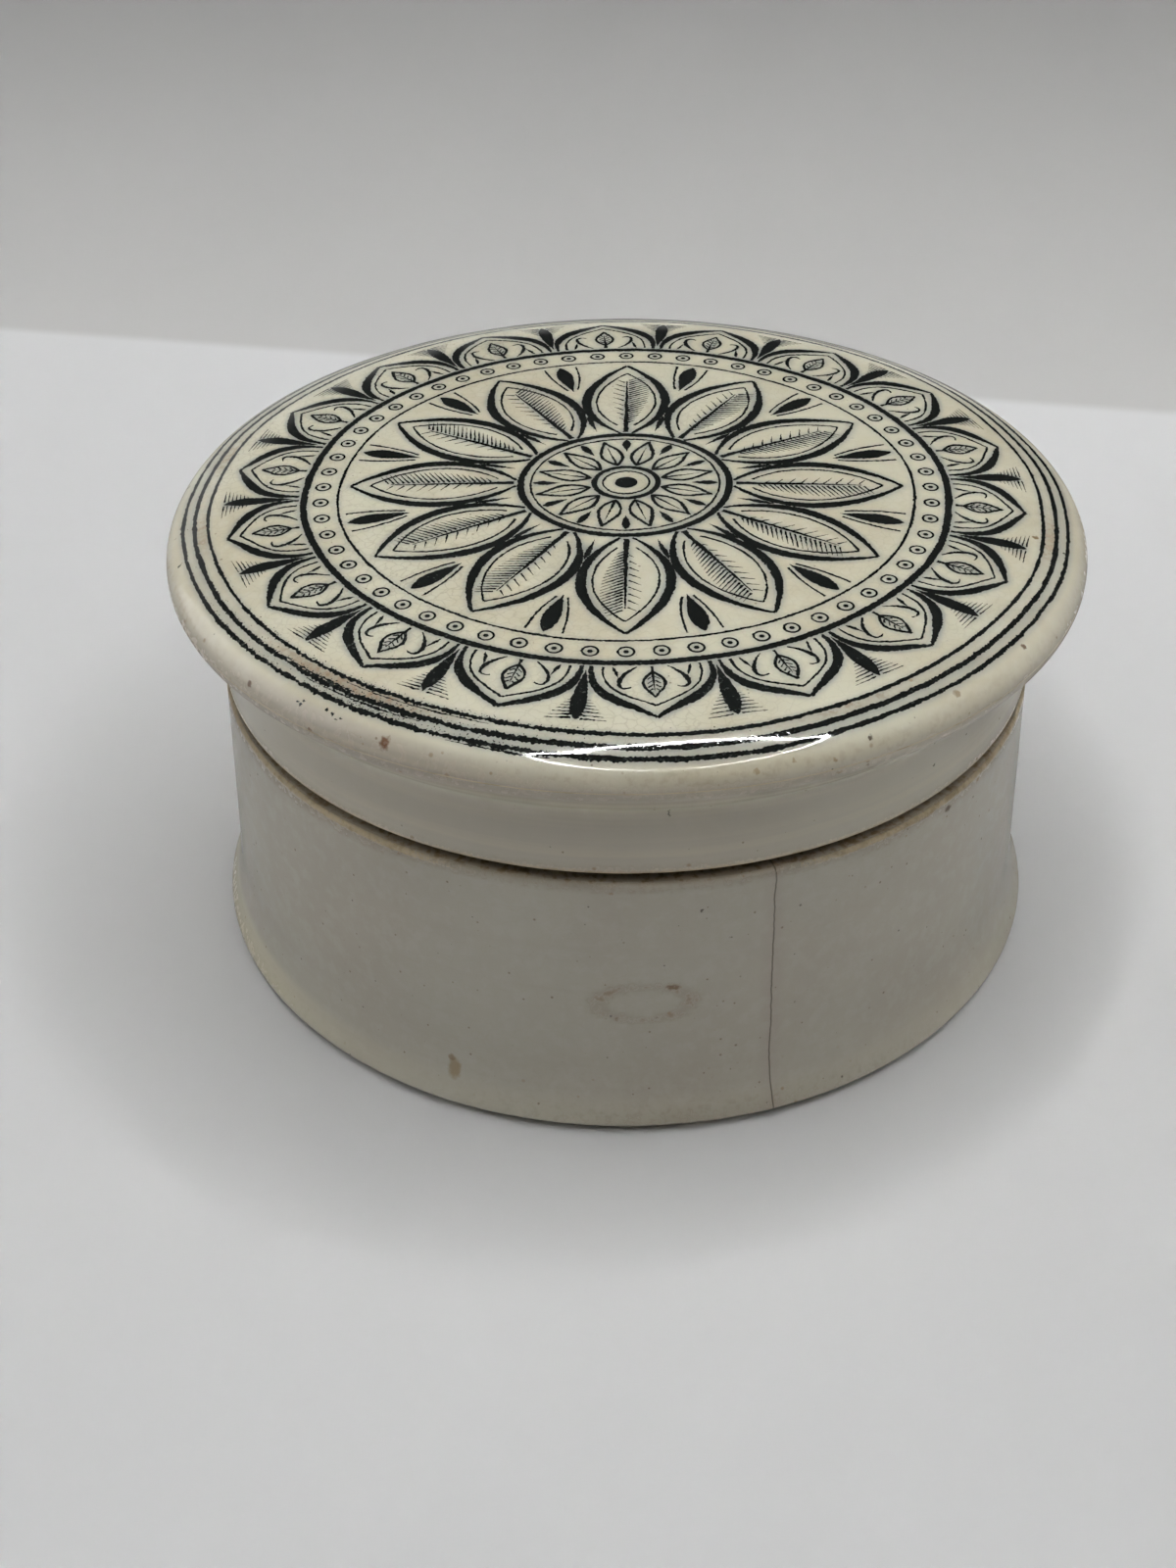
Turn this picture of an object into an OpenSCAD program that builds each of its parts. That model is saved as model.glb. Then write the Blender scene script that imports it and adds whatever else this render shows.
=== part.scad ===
// Cold cream pot: a turned earthenware pot with a straight neck, and a domed
// lid whose skirt slips over that neck. Both pieces are turned about the Z axis.
// The pot stands on z = 0. The lid rests on top of the neck, so that a narrow
// gap stays open all round between the skirt and the pot's shoulder.

/* [Pot] */
// Radius of the outside wall at the shoulder
wall_r = 35.9; // [33:0.05:42]
// Height of the shoulder above the table
body_h = 25.05; // [18:0.05:40]
// Lean of the outside wall, wider towards the foot, in degrees
wall_lean = 1.6; // [0.5:0.1:3]
// Radius that rounds the shoulder's outer corner
shoulder_round = 0.5; // [0.2:0.05:0.9]
// Radius of the sweep from the wall into the foot
flare_r = 12.4; // [6:0.1:20]
// Lean of the foot's flare below that sweep, in degrees
foot_lean = 27; // [18:1:34]
// Height of the foot's outer edge above the table
foot_edge_h = 1; // [0.5:0.05:1.3]
// Radius that rounds the foot's outer edge
foot_round = 0.25; // [0.1:0.05:0.3]
// Width of the bevel that runs in from that edge to the ring the pot stands on
foot_bevel_w = 1.8; // [1:0.1:2.4]
// Width of the flat ring that the pot stands on
foot_ring_w = 3.2; // [2:0.1:5]
// Depth of the hollow under the pot, inside the foot ring
foot_hollow = 0.8; // [0.4:0.1:1.5]
// Thickness of the floor above that hollow
floor_t = 4.5; // [3:0.1:7]
// Radius of the sweep from the inside wall into the floor
inside_sweep = 6; // [2:0.5:9]

/* [Neck] */
// Thickness of the neck's wall
neck_t = 2.2; // [1.8:0.1:3.5]
// Radius that rounds the neck's inner lip
lip_round = 0.4; // [0.2:0.05:0.6]
// Radius that fills the corner between neck and shoulder
neck_root = 0.3; // [0.1:0.05:0.4]

/* [Lid] */
// Open gap between the lid's skirt and the pot's shoulder
shoulder_gap = 1.05; // [0.5:0.05:2]
// How far the skirt stands back from the wall at the shoulder
skirt_back = 0.1; // [0:0.05:0.4]
// Thickness of the skirt
skirt_t = 2; // [1.6:0.1:2.8]
// Space between skirt and neck, measured along a radius
fit_clearance = 0.4; // [0.2:0.05:0.6]
// Radius that rounds the skirt's lower edge, inside and out
skirt_round = 0.3; // [0.1:0.05:0.5]
// How far the rim overhangs the skirt
rim_overhang = 3.95; // [3.4:0.05:6]
// Height of the rim's widest line above the skirt's lower edge
rim_h = 10.45; // [9:0.05:14]
// Radius of the rolled upper side of the rim
rim_roll = 2.6; // [1.8:0.1:3.4]
// Width of the upright band round the rim's widest line
rim_band = 0.1; // [0.05:0.05:0.5]
// Radius of the tight turn under the rim
rim_under = 1.2; // [0.5:0.1:1.6]
// Slope of the rim's under side, in degrees from level
under_slope = 44; // [36:1:52]
// Radius of the cove from the under side into the skirt
cove_r = 3; // [1.5:0.1:4]
// Slope of the lid's top where the rolled rim begins, in degrees
edge_slope = 21; // [14:1:28]
// Radius of the bend between the crown and the rolled rim
edge_r = 18; // [10:1:30]
// Radius of the shallow crown
crown_r = 750; // [400:10:1200]
// Thickness of the lid at its middle
lid_t = 4.2; // [3.2:0.1:5]
// Radius that fills the corner between the lid's ceiling and its skirt
ceiling_round = 1.2; // [0.8:0.1:1.8]

/* [Hidden] */

// Colours of the glazed clay, as [red, green, blue] from 0 to 1
pot_colour = [0.84, 0.82, 0.77];
lid_colour = [0.90, 0.88, 0.79];

// Straight steps in each rounded stretch of an outline, and round the axis
arc_steps = 12;
turn_steps = 180;

// Skirt and neck, from the wall inwards
skirt_out_r = wall_r - skirt_back;
skirt_in_r = skirt_out_r - skirt_t;
neck_out_r = skirt_in_r - fit_clearance;
neck_in_r = neck_out_r - neck_t;

// Slope of the bevel under the foot's edge, and half the angle between it and the flare
bevel_slope = atan(foot_edge_h / foot_bevel_w);
foot_half = (90 - foot_lean + bevel_slope) / 2;
// The wall and the flare, prolonged, meet at this height, so that the sweep between
// them ends just above the foot's rounded edge
flare_h = foot_edge_h + cos(foot_lean)
    * (flare_r * tan((foot_lean - wall_lean) / 2) + foot_round / tan(foot_half) + 0.05);
flare_top_r = wall_r + (body_h - flare_h) * tan(wall_lean);
foot_r = flare_top_r + (flare_h - foot_edge_h) * tan(foot_lean);
// Outer and inner radius of the ring the pot stands on, which slopes up into the hollow
foot_out_r = foot_r - foot_bevel_w;
foot_in_r = foot_out_r - foot_ring_w;
hollow_r = foot_in_r - 2 * foot_hollow;
foot_in_round = foot_hollow / 2;
hollow_round = foot_hollow;
floor_z = foot_hollow + floor_t;

skirt_z = body_h + shoulder_gap;
rim_r = skirt_out_r + rim_overhang;
// Centre of the roll along the rim, whose widest line is level with it
roll_c = [rim_r - rim_roll, skirt_z + rim_h];
// The bend and the crown each run on from the arc before them with the same slope
bend_c = roll_c - (edge_r - rim_roll) * [sin(edge_slope), cos(edge_slope)];
crown_slope = asin(bend_c[0] / (crown_r - edge_r));
crown_c = [0, bend_c[1] - (crown_r - edge_r) * cos(crown_slope)];
crown_z = crown_c[1] + crown_r;
// The lid's flat ceiling is also the seat that rests on the neck
ceiling_z = crown_z - lid_t;
// The neck's outer lip is rounded to lie inside the ceiling's rounded corner
neck_lip = ceiling_round - fit_clearance;
// Height of the corner where the rim's upright band meets its under side
under_z = roll_c[1] - rim_band - rim_under * tan(45 - under_slope / 2);

// Points of an arc about c, from angle a to angle b. With first = 1 the arc's
// own first point is left out, for an arc that runs on from the one before.
function arc(c, r, a, b, first = 0) =
    [for (i = [first : arc_steps])
        let (t = a + (b - a) * i / arc_steps)
        c + r * [cos(t), sin(t)]];

// A unit vector along v
function unit(v) = v / norm(v);

// Points that round the corner q between its neighbours p and s. Radius 0 leaves
// the corner sharp.
function corner(p, q, s, r) =
    let (u = unit(p - q),
         v = unit(s - q),
         half = acos(u * v) / 2,
         c = q + unit(u + v) * r / sin(half),
         from = q + u * r / tan(half) - c,
         to = q + v * r / tan(half) - c,
         a = atan2(from[1], from[0]),
         turn = atan2(from[0] * to[1] - from[1] * to[0], from * to))
    r == 0 ? [q] : arc(c, r, a, a + turn);

// An outline through corners given as [r, z, rounding radius]. The first and the
// last only give the direction of the ends and are left out.
function outline(k) =
    [for (i = [1 : len(k) - 2])
        each corner([k[i - 1][0], k[i - 1][1]], [k[i][0], k[i][1]],
                    [k[i + 1][0], k[i + 1][1]], k[i][2])];

// Half section of the pot, from under the foot round to the inside floor
pot_section = concat(
    [[0, foot_hollow]],
    outline([
        [0, foot_hollow],
        [hollow_r, foot_hollow, hollow_round],
        [foot_in_r, 0, foot_in_round],
        [foot_out_r, 0, 0],
        [foot_r, foot_edge_h, foot_round],
        [flare_top_r, flare_h, flare_r],
        [wall_r, body_h, shoulder_round],
        [neck_out_r, body_h, neck_root],
        [neck_out_r, ceiling_z, neck_lip],
        [neck_in_r, ceiling_z, lip_round],
        [neck_in_r, floor_z, inside_sweep],
        [0, floor_z]
    ]),
    [[0, floor_z]]);

// Half section of the lid, from the middle of the crown round to the ceiling
lid_section = concat(
    arc(crown_c, crown_r, 90, 90 - crown_slope),
    arc(bend_c, edge_r, 90 - crown_slope, 90 - edge_slope, 1),
    arc(roll_c, rim_roll, 90 - edge_slope, 0, 1),
    outline([
        roll_c + [rim_roll, 0],
        [rim_r, under_z, rim_under],
        [skirt_out_r, under_z - rim_overhang * tan(under_slope), cove_r],
        [skirt_out_r, skirt_z, skirt_round],
        [skirt_in_r, skirt_z, skirt_round],
        [skirt_in_r, ceiling_z, ceiling_round],
        [0, ceiling_z]
    ]),
    [[0, ceiling_z]]);

module pot() {
    color(pot_colour)
        rotate_extrude($fn = turn_steps)
            polygon(pot_section);
}

module lid() {
    color(lid_colour)
        rotate_extrude($fn = turn_steps)
            polygon(lid_section);
}

pot();
lid();
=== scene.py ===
"""Cold cream pot: a turned earthenware pot and its domed, printed lid, dressed.

Both pieces are turned forms, so each is its half section carried round the axis. The
black print is laid on the lid as thin ribbons of ink that follow its top. Sizes are in
millimetres throughout, and become metres only where a mesh or a lamp is made.
"""
import logging
from dataclasses import dataclass, replace
from enum import Enum
from typing import Callable, Union

import bpy
import numpy as np
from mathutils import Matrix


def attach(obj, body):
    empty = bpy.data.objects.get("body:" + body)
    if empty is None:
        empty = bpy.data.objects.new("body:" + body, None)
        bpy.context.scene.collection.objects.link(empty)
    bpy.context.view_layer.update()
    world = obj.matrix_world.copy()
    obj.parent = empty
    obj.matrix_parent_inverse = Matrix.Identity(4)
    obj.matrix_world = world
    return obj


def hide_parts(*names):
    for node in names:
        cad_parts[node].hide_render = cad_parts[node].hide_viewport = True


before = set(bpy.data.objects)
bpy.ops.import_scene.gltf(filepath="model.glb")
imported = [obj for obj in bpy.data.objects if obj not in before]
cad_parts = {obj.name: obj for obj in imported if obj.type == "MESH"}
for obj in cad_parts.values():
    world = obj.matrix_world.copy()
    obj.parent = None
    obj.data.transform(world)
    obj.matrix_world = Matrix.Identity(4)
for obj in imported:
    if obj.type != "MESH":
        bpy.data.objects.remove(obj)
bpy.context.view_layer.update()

MM = 0.001
GLAZE_IOR = 1.6
# Most that hand turning draws a radius in, in millimetres.
OUT_OF_ROUND = 0.12
LOG = logging.getLogger("cold_cream_pot")

Array = np.ndarray
Socket = bpy.types.NodeSocket
Reshape = Callable[[Array], Array]
Inputs = dict[Union[str, int], object]


# ---------------------------------------------------------------- curves and surfaces

def arc(centre: tuple[float, float], radius: float, start: float, stop: float,
        steps: int) -> Array:
    """Points of an arc: centre + radius · (cos t, sin t), t even from start to stop.

    Args:
        centre: Centre of the arc.
        radius: Its radius.
        start: First angle in degrees.
        stop: Last angle in degrees.
        steps: Number of straight steps.

    Returns:
        Array of steps + 1 points.
    """
    t = np.radians(np.linspace(start, stop, steps + 1))
    return np.array(centre) + radius * np.stack([np.cos(t), np.sin(t)], -1)


def unit(v: Array) -> Array:
    """Vectors of length one along v, row by row."""
    return v / np.linalg.norm(v, axis=-1, keepdims=True)


def rounded(corners: Array, steps: int) -> Array:
    """Outline through corners, each replaced by an arc tangent to both its sides.

    The arc's centre lies on the corner's bisector, radius / sin(half angle) away, and
    its ends lie radius / tan(half angle) along each side.

    Args:
        corners: Rows of r, z and rounding radius. The first and last give directions.
        steps: Straight steps in each arc.

    Returns:
        The outline's points, without the first and the last corner.
    """
    before, at, after = corners[:-2, :2], corners[1:-1, :2], corners[2:, :2]
    k = corners[1:-1, 2:]
    u, v = unit(before - at), unit(after - at)
    half = np.arccos((u * v).sum(-1, keepdims=True)) / 2
    c = at + unit(u + v) * k / np.sin(half)
    a, b = at + u * k / np.tan(half) - c, at + v * k / np.tan(half) - c
    first = np.arctan2(a[:, 1], a[:, 0])[:, None]
    turn = np.arctan2(a[:, 0] * b[:, 1] - a[:, 1] * b[:, 0], (a * b).sum(-1))[:, None]
    t = first + turn * np.linspace(0, 1, steps + 1)
    ring = np.stack([np.cos(t), np.sin(t)], -1)
    return (c[:, None] + k[:, None] * ring).reshape(-1, 2)


def filled_in(points: Array, step: float) -> Array:
    """The same line with points added evenly, so that no gap is longer than step.

    Args:
        points: Points of the line, one row each.
        step: Longest gap that may stay.

    Returns:
        The denser line.
    """
    runs = np.diff(points, axis=0)
    counts = np.maximum(1, np.ceil(np.linalg.norm(runs, axis=1) / step)).astype(int)
    order = np.arange(counts.sum()) - np.repeat(np.cumsum(counts) - counts, counts)
    share = (order / np.repeat(counts, counts))[:, None]
    return np.vstack([np.repeat(points[:-1], counts, 0)
                      + np.repeat(runs, counts, 0) * share, points[-1:]])


def smooth(x: Array, low: float, high: float) -> Array:
    """Smooth step from 0 at low to 1 at high: 3t² − 2t³ with t the clamped share."""
    t = np.clip((x - low) / (high - low), 0, 1)
    return t * t * (3 - 2 * t)


def bell(x: Array, middle: float, width: float) -> Array:
    """Bell curve of height 1 round the middle: exp(−((x − middle) / width)²)."""
    return np.exp(-((x - middle) / width) ** 2)


def bezier(*controls: tuple[float, float], steps: int = 40) -> Array:
    """Cubic curve (1−t)³a + 3(1−t)²t b + 3(1−t)t² c + t³ d for t from 0 to 1.

    Args:
        controls: The four control points a, b, c and d.
        steps: Number of straight steps.

    Returns:
        Array of steps + 1 points.
    """
    t = np.linspace(0, 1, steps + 1)[:, None]
    a, b, c, d = map(np.array, controls)
    return (1 - t) ** 3 * a + 3 * (1 - t) ** 2 * t * b + 3 * (1 - t) * t ** 2 * c + t ** 3 * d


def put_mesh(name: str, points: Array, faces: list[Array]) -> bpy.types.Object:
    """Write points and faces into a new smooth mesh, its object at the origin.

    Args:
        name: Name of the piece.
        points: Rows of x, y and z in millimetres.
        faces: Arrays of vertex numbers, one row for each face.

    Returns:
        The new object, linked to the scene.
    """
    mesh = bpy.data.meshes.new(name)
    corners = np.concatenate([f.ravel() for f in faces]).astype(np.int32)
    sizes = np.concatenate([np.full(len(f), f.shape[1]) for f in faces])
    mesh.vertices.add(len(points))
    mesh.loops.add(len(corners))
    mesh.polygons.add(len(sizes))
    mesh.vertices.foreach_set("co", (points * MM).astype(np.float32).ravel())
    mesh.loops.foreach_set("vertex_index", corners)
    starts = np.concatenate([[0], np.cumsum(sizes)[:-1]]).astype(np.int32)
    mesh.polygons.foreach_set("loop_start", starts)
    mesh.update(calc_edges=True)
    mesh.validate()
    mesh.polygons.foreach_set("use_smooth", np.ones(len(mesh.polygons), bool))
    piece = bpy.data.objects.new(name, mesh)
    bpy.context.scene.collection.objects.link(piece)
    return piece


def vertices(piece: bpy.types.Object) -> Array:
    """Read a piece's vertices back.

    Args:
        piece: The piece.

    Returns:
        Rows of x, y and z in millimetres.
    """
    points = np.empty(len(piece.data.vertices) * 3)
    piece.data.vertices.foreach_get("co", points)
    return points.reshape(-1, 3) / MM


def put_attribute(piece: bpy.types.Object, name: str, values: Array) -> None:
    """Give each vertex of a piece one number, which its material reads by name."""
    layer = piece.data.attributes.new(name, "FLOAT", "POINT")
    layer.data.foreach_set("value", values.astype(np.float32))


def turned(name: str, section: Array, segments: int, reshape: Reshape) -> bpy.types.Object:
    """Carry a half section round the axis.

    Point (i, j) is (r_i cos a_j, r_i sin a_j, z_i), where a_j is j even parts of a turn.
    The section's two ends lie on the axis, and each closes in a fan round one pole.

    Args:
        name: Name of the piece.
        section: Rows of r and z, from the lower pole by the outside to the upper pole.
        segments: Number of parts in the turn.
        reshape: Moves the points from the true turned form to the handmade one.

    Returns:
        The closed piece, its faces outwards.
    """
    line = section[1:-1]
    a = np.arange(segments) * 2 * np.pi / segments
    r, z = line[:, :1], np.repeat(line[:, 1:], segments, 1)
    grid = np.stack([r * np.cos(a), r * np.sin(a), z], -1).reshape(-1, 3)
    poles = np.array([[0, 0, section[0, 1]], [0, 0, section[-1, 1]]])
    points = reshape(np.vstack([poles, grid]))
    here = 2 + np.arange(len(line) * segments).reshape(len(line), segments)
    side = np.roll(here, -1, 1)
    quads = np.stack([here[:-1], side[:-1], side[1:], here[1:]], -1).reshape(-1, 4)
    low = np.stack([np.zeros_like(here[0]), side[0], here[0]], -1)
    high = np.stack([here[-1], side[-1], np.ones_like(here[0])], -1)
    return put_mesh(name, points, [quads, low, high])


# ---------------------------------------------------------------- finishes

def colour(code: str) -> tuple[float, float, float, float]:
    """Linear colour from an sRGB hex code.

    Args:
        code: Six hex digits after a hash.

    Returns:
        Red, green, blue and a full alpha for a shader socket.
    """
    s = np.array([int(code[i:i + 2], 16) for i in (1, 3, 5)]) / 255
    r, g, b = np.where(s <= 0.04045, s / 12.92, ((s + 0.055) / 1.055) ** 2.4)
    return float(r), float(g), float(b), 1.0


def connect(node: bpy.types.Node, inputs: Inputs) -> None:
    """Link each input that is given an output socket, and fill in the others.

    Args:
        node: The node.
        inputs: For each input, by name or number, an output socket or a value.
    """
    for key, value in inputs.items():
        if isinstance(value, bpy.types.NodeSocket):
            node.id_data.links.new(value, node.inputs[key])
        else:
            node.inputs[key].default_value = value


def add(tree: bpy.types.NodeTree, kind: str, inputs: Union[Inputs, None] = None,
        out: Union[str, int] = 0, **settings: object) -> Socket:
    """Add a node with its settings and its links.

    Args:
        tree: Node tree that gets the node.
        kind: The node's type name, without the prefix that all of them share.
        inputs: For each input, by name or number, an output socket or a value.
        out: The output that is wanted, by name or number.
        settings: Properties of the node.

    Returns:
        That output of the new node.
    """
    node = tree.nodes.new("ShaderNode" + kind)
    for key, value in settings.items():
        setattr(node, key, value)
    connect(node, inputs or {})
    return node.outputs[out]


def new_material(name: str) -> tuple[bpy.types.Material, bpy.types.Node]:
    """Make a material of one plain surface shader.

    Args:
        name: Name of the material.

    Returns:
        The material and its shader.
    """
    made = bpy.data.materials.new(name)
    made.use_nodes = True
    return made, made.node_tree.nodes["Principled BSDF"]


def millimetres(tree: bpy.types.NodeTree) -> Socket:
    """The surface point in millimetres, from Object coordinates."""
    place = add(tree, "TexCoord", out="Object")
    return add(tree, "VectorMath", {0: place, "Scale": 1000.0}, operation="SCALE")


def patches(tree: bpy.types.NodeTree, mm: Socket, size: float, low: float, high: float,
            detail: float = 3.0) -> Socket:
    """Cloudy patches from 0 to 1.

    Args:
        tree: Material's node tree.
        mm: Point in millimetres.
        size: Width of a patch in millimetres.
        low: Noise value that becomes 0.
        high: Noise value that becomes 1.
        detail: Octaves of finer noise.

    Returns:
        Socket with the patches.
    """
    noise = add(tree, "TexNoise",
                {"Vector": mm, "Scale": 1 / size, "Detail": detail, "Roughness": 0.55})
    return add(tree, "MapRange",
               {"Value": noise, "From Min": low, "From Max": high},
               interpolation_type="SMOOTHSTEP")


def specks(tree: bpy.types.NodeTree, mm: Socket, spacing: float, radius: float,
           share: float) -> Socket:
    """Small round specks, one at most in each cell of a scattered lattice.

    Args:
        tree: Material's node tree.
        mm: Point in millimetres.
        spacing: Mean distance of the cells in millimetres.
        radius: Largest radius of a speck in millimetres.
        share: Share of the cells that hold one.

    Returns:
        Socket that is 1 in a speck and 0 outside.
    """
    cells = add(tree, "TexVoronoi", {"Vector": mm, "Scale": 1 / spacing})
    chance = add(tree, "SeparateColor", {0: cells.node.outputs["Color"]})
    wide = add(tree, "MapRange",
               {"Value": chance, "From Min": 1 - share, "From Max": 1.0,
                "To Min": 0.0, "To Max": radius / spacing})
    inner = add(tree, "Math", {0: wide, 1: 0.45}, operation="MULTIPLY")
    edge = add(tree, "Math", {0: wide, 1: 0.0001}, operation="ADD")
    return add(tree, "MapRange",
               {"Value": cells, "From Min": inner,
                "From Max": edge, "To Min": 1.0, "To Max": 0.0})


def crazing(tree: bpy.types.NodeTree, mm: Socket, cell: float, line: float) -> Socket:
    """The net of hairlines in an old glaze: the borders between scattered cells.

    Args:
        tree: Material's node tree.
        mm: Point in millimetres.
        cell: Width of a cell in millimetres.
        line: Half width of a hairline in millimetres.

    Returns:
        Socket that is 1 on a hairline and 0 off it.
    """
    bent = add(tree, "TexNoise", {"Vector": mm, "Scale": 1.4 / cell}, out="Color")
    away = add(tree, "VectorMath", {0: bent, 1: (0.5, 0.5, 0.5)}, operation="SUBTRACT")
    moved = add(tree, "VectorMath",
                {0: away, 1: (cell * 0.7,) * 3, 2: mm}, operation="MULTIPLY_ADD")
    net = add(tree, "TexVoronoi", {"Vector": moved, "Scale": 1 / cell},
              feature="DISTANCE_TO_EDGE")
    return add(tree, "MapRange",
               {"Value": net, "From Min": 0.0, "From Max": line / cell,
                "To Min": 1.0, "To Max": 0.0})


def tinted(tree: bpy.types.NodeTree, under: Socket, code: str, share: Union[Socket, float],
           most: float = 1.0) -> Socket:
    """Lay one colour over another.

    Args:
        tree: Material's node tree.
        under: Colour so far.
        code: Hex code of the colour laid over it.
        share: Where it lies, from 0 to 1.
        most: Strength where share is 1.

    Returns:
        Socket with the new colour.
    """
    much = add(tree, "Math", {0: share, 1: most}, operation="MULTIPLY")
    return add(tree, "Mix", {0: much, 6: under, 7: colour(code)}, data_type="RGBA", out=2)


@dataclass(frozen=True)
class Mark:
    """A single stain or spot in the glaze: an egg-shaped space that colours what it meets."""

    place: tuple[float, float, float]
    reach: tuple[float, float, float]
    code: str
    strength: float

    def cover(self, tree: bpy.types.NodeTree, mm: Socket, under: Socket) -> Socket:
        """Lay the mark over a colour, soft towards its edge.

        Args:
            tree: Material's node tree.
            mm: Point in millimetres, a little wandering, so that the edge isn't even.
            under: Colour so far.

        Returns:
            Socket with the new colour.
        """
        near = add(tree, "VectorMath", {0: mm, 1: self.place}, operation="SUBTRACT")
        scaled = add(tree, "VectorMath", {0: near, 1: self.reach}, operation="DIVIDE")
        far = add(tree, "VectorMath", {0: scaled}, out="Value", operation="LENGTH")
        share = add(tree, "MapRange",
                    {"Value": far, "From Min": 0.45, "From Max": 1.0, "To Min": 1.0,
                     "To Max": 0.0}, interpolation_type="SMOOTHSTEP")
        return tinted(tree, under, self.code, share, self.strength)


@dataclass(frozen=True)
class Blister:
    """A bubble under the glaze that stands up as a small dome."""

    place: tuple[float, float, float]
    radius: float
    rise: float

    def raise_up(self, tree: bpy.types.NodeTree, mm: Socket, height: Socket) -> Socket:
        """Add the dome to the relief: rise · the smooth step of nearness.

        Args:
            tree: Material's node tree.
            mm: Point in millimetres.
            height: Height so far in millimetres.

        Returns:
            Socket with the new height.
        """
        far = add(tree, "VectorMath", {0: mm, 1: self.place}, out="Value",
                  operation="DISTANCE")
        dome = add(tree, "MapRange",
                   {"Value": far, "From Min": 0.0, "From Max": self.radius,
                    "To Min": self.rise, "To Max": 0.0}, interpolation_type="SMOOTHSTEP")
        return add(tree, "Math", {0: dome, 1: height})


@dataclass(frozen=True)
class Hairline:
    """A crack through the wall at one azimuth, in degrees, as wide as it shows."""

    azimuth: float
    half_width: float
    wander: float
    code: str

    def line(self, tree: bpy.types.NodeTree, mm: Socket) -> tuple[Socket, Socket]:
        """Where the crack shows: the distance from its upright plane, wandering with z.

        Args:
            tree: Material's node tree.
            mm: Point in millimetres.

        Returns:
            Socket that is 1 in the crack, and socket with the tinge beside it.
        """
        a = np.radians(self.azimuth)
        up = add(tree, "SeparateXYZ", {0: mm}, out="Z")
        coarse = add(tree, "TexNoise",
                     {"W": up, "Scale": 0.16, "Detail": 4.0, "Roughness": 0.6},
                     noise_dimensions="1D")
        across = add(tree, "VectorMath",
                     {0: mm, 1: (float(-np.sin(a)), float(np.cos(a)), 0.0)}, out="Value",
                     operation="DOT_PRODUCT")
        off = add(tree, "Math",
                  {0: coarse, 1: -2 * self.wander, 2: across},
                  operation="MULTIPLY_ADD")
        centred = add(tree, "Math", {0: off, 1: self.wander}, operation="ADD")
        far = add(tree, "Math", {0: centred}, operation="ABSOLUTE")
        outward = add(tree, "VectorMath",
                      {0: mm, 1: (float(np.cos(a)), float(np.sin(a)), 0.0)}, out="Value",
                      operation="DOT_PRODUCT")
        side = add(tree, "MapRange", {"Value": outward, "From Min": 20.0, "From Max": 27.0})
        thin = add(tree, "MapRange",
                   {"Value": far, "From Min": self.half_width * 0.35,
                    "From Max": self.half_width, "To Min": 1.0, "To Max": 0.0})
        broad = add(tree, "MapRange",
                    {"Value": far, "From Min": 0.0, "From Max": 1.4,
                     "To Min": 1.0, "To Max": 0.0}, interpolation_type="SMOOTHSTEP")
        both = [add(tree, "Math", {0: part, 1: side},
                    operation="MULTIPLY") for part in (thin, broad)]
        return both[0], both[1]


def glaze_relief(tree: bpy.types.NodeTree, mm: Socket, cell: float) -> Socket:
    """Height of the glaze in millimetres: slow orange peel, fine ripple and hairlines.

    Ink and glaze share it, because the glaze runs unbroken over the print.

    Args:
        tree: Material's node tree.
        mm: Point in millimetres.
        cell: Width of a cell of the crazing in millimetres.

    Returns:
        Socket with the height.
    """
    peel = add(tree, "TexNoise", {"Vector": mm, "Scale": 1 / 2.4, "Detail": 2.0})
    ripple = add(tree, "TexNoise", {"Vector": mm, "Scale": 1 / 0.22, "Detail": 2.0})
    slow = add(tree, "Math", {0: peel, 1: 0.0016}, operation="MULTIPLY")
    fine = add(tree, "Math", {0: ripple, 1: 0.0013, 2: slow}, operation="MULTIPLY_ADD")
    return add(tree, "Math",
               {0: crazing(tree, mm, cell, 0.05), 1: -0.0006, 2: fine},
               operation="MULTIPLY_ADD")


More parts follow.
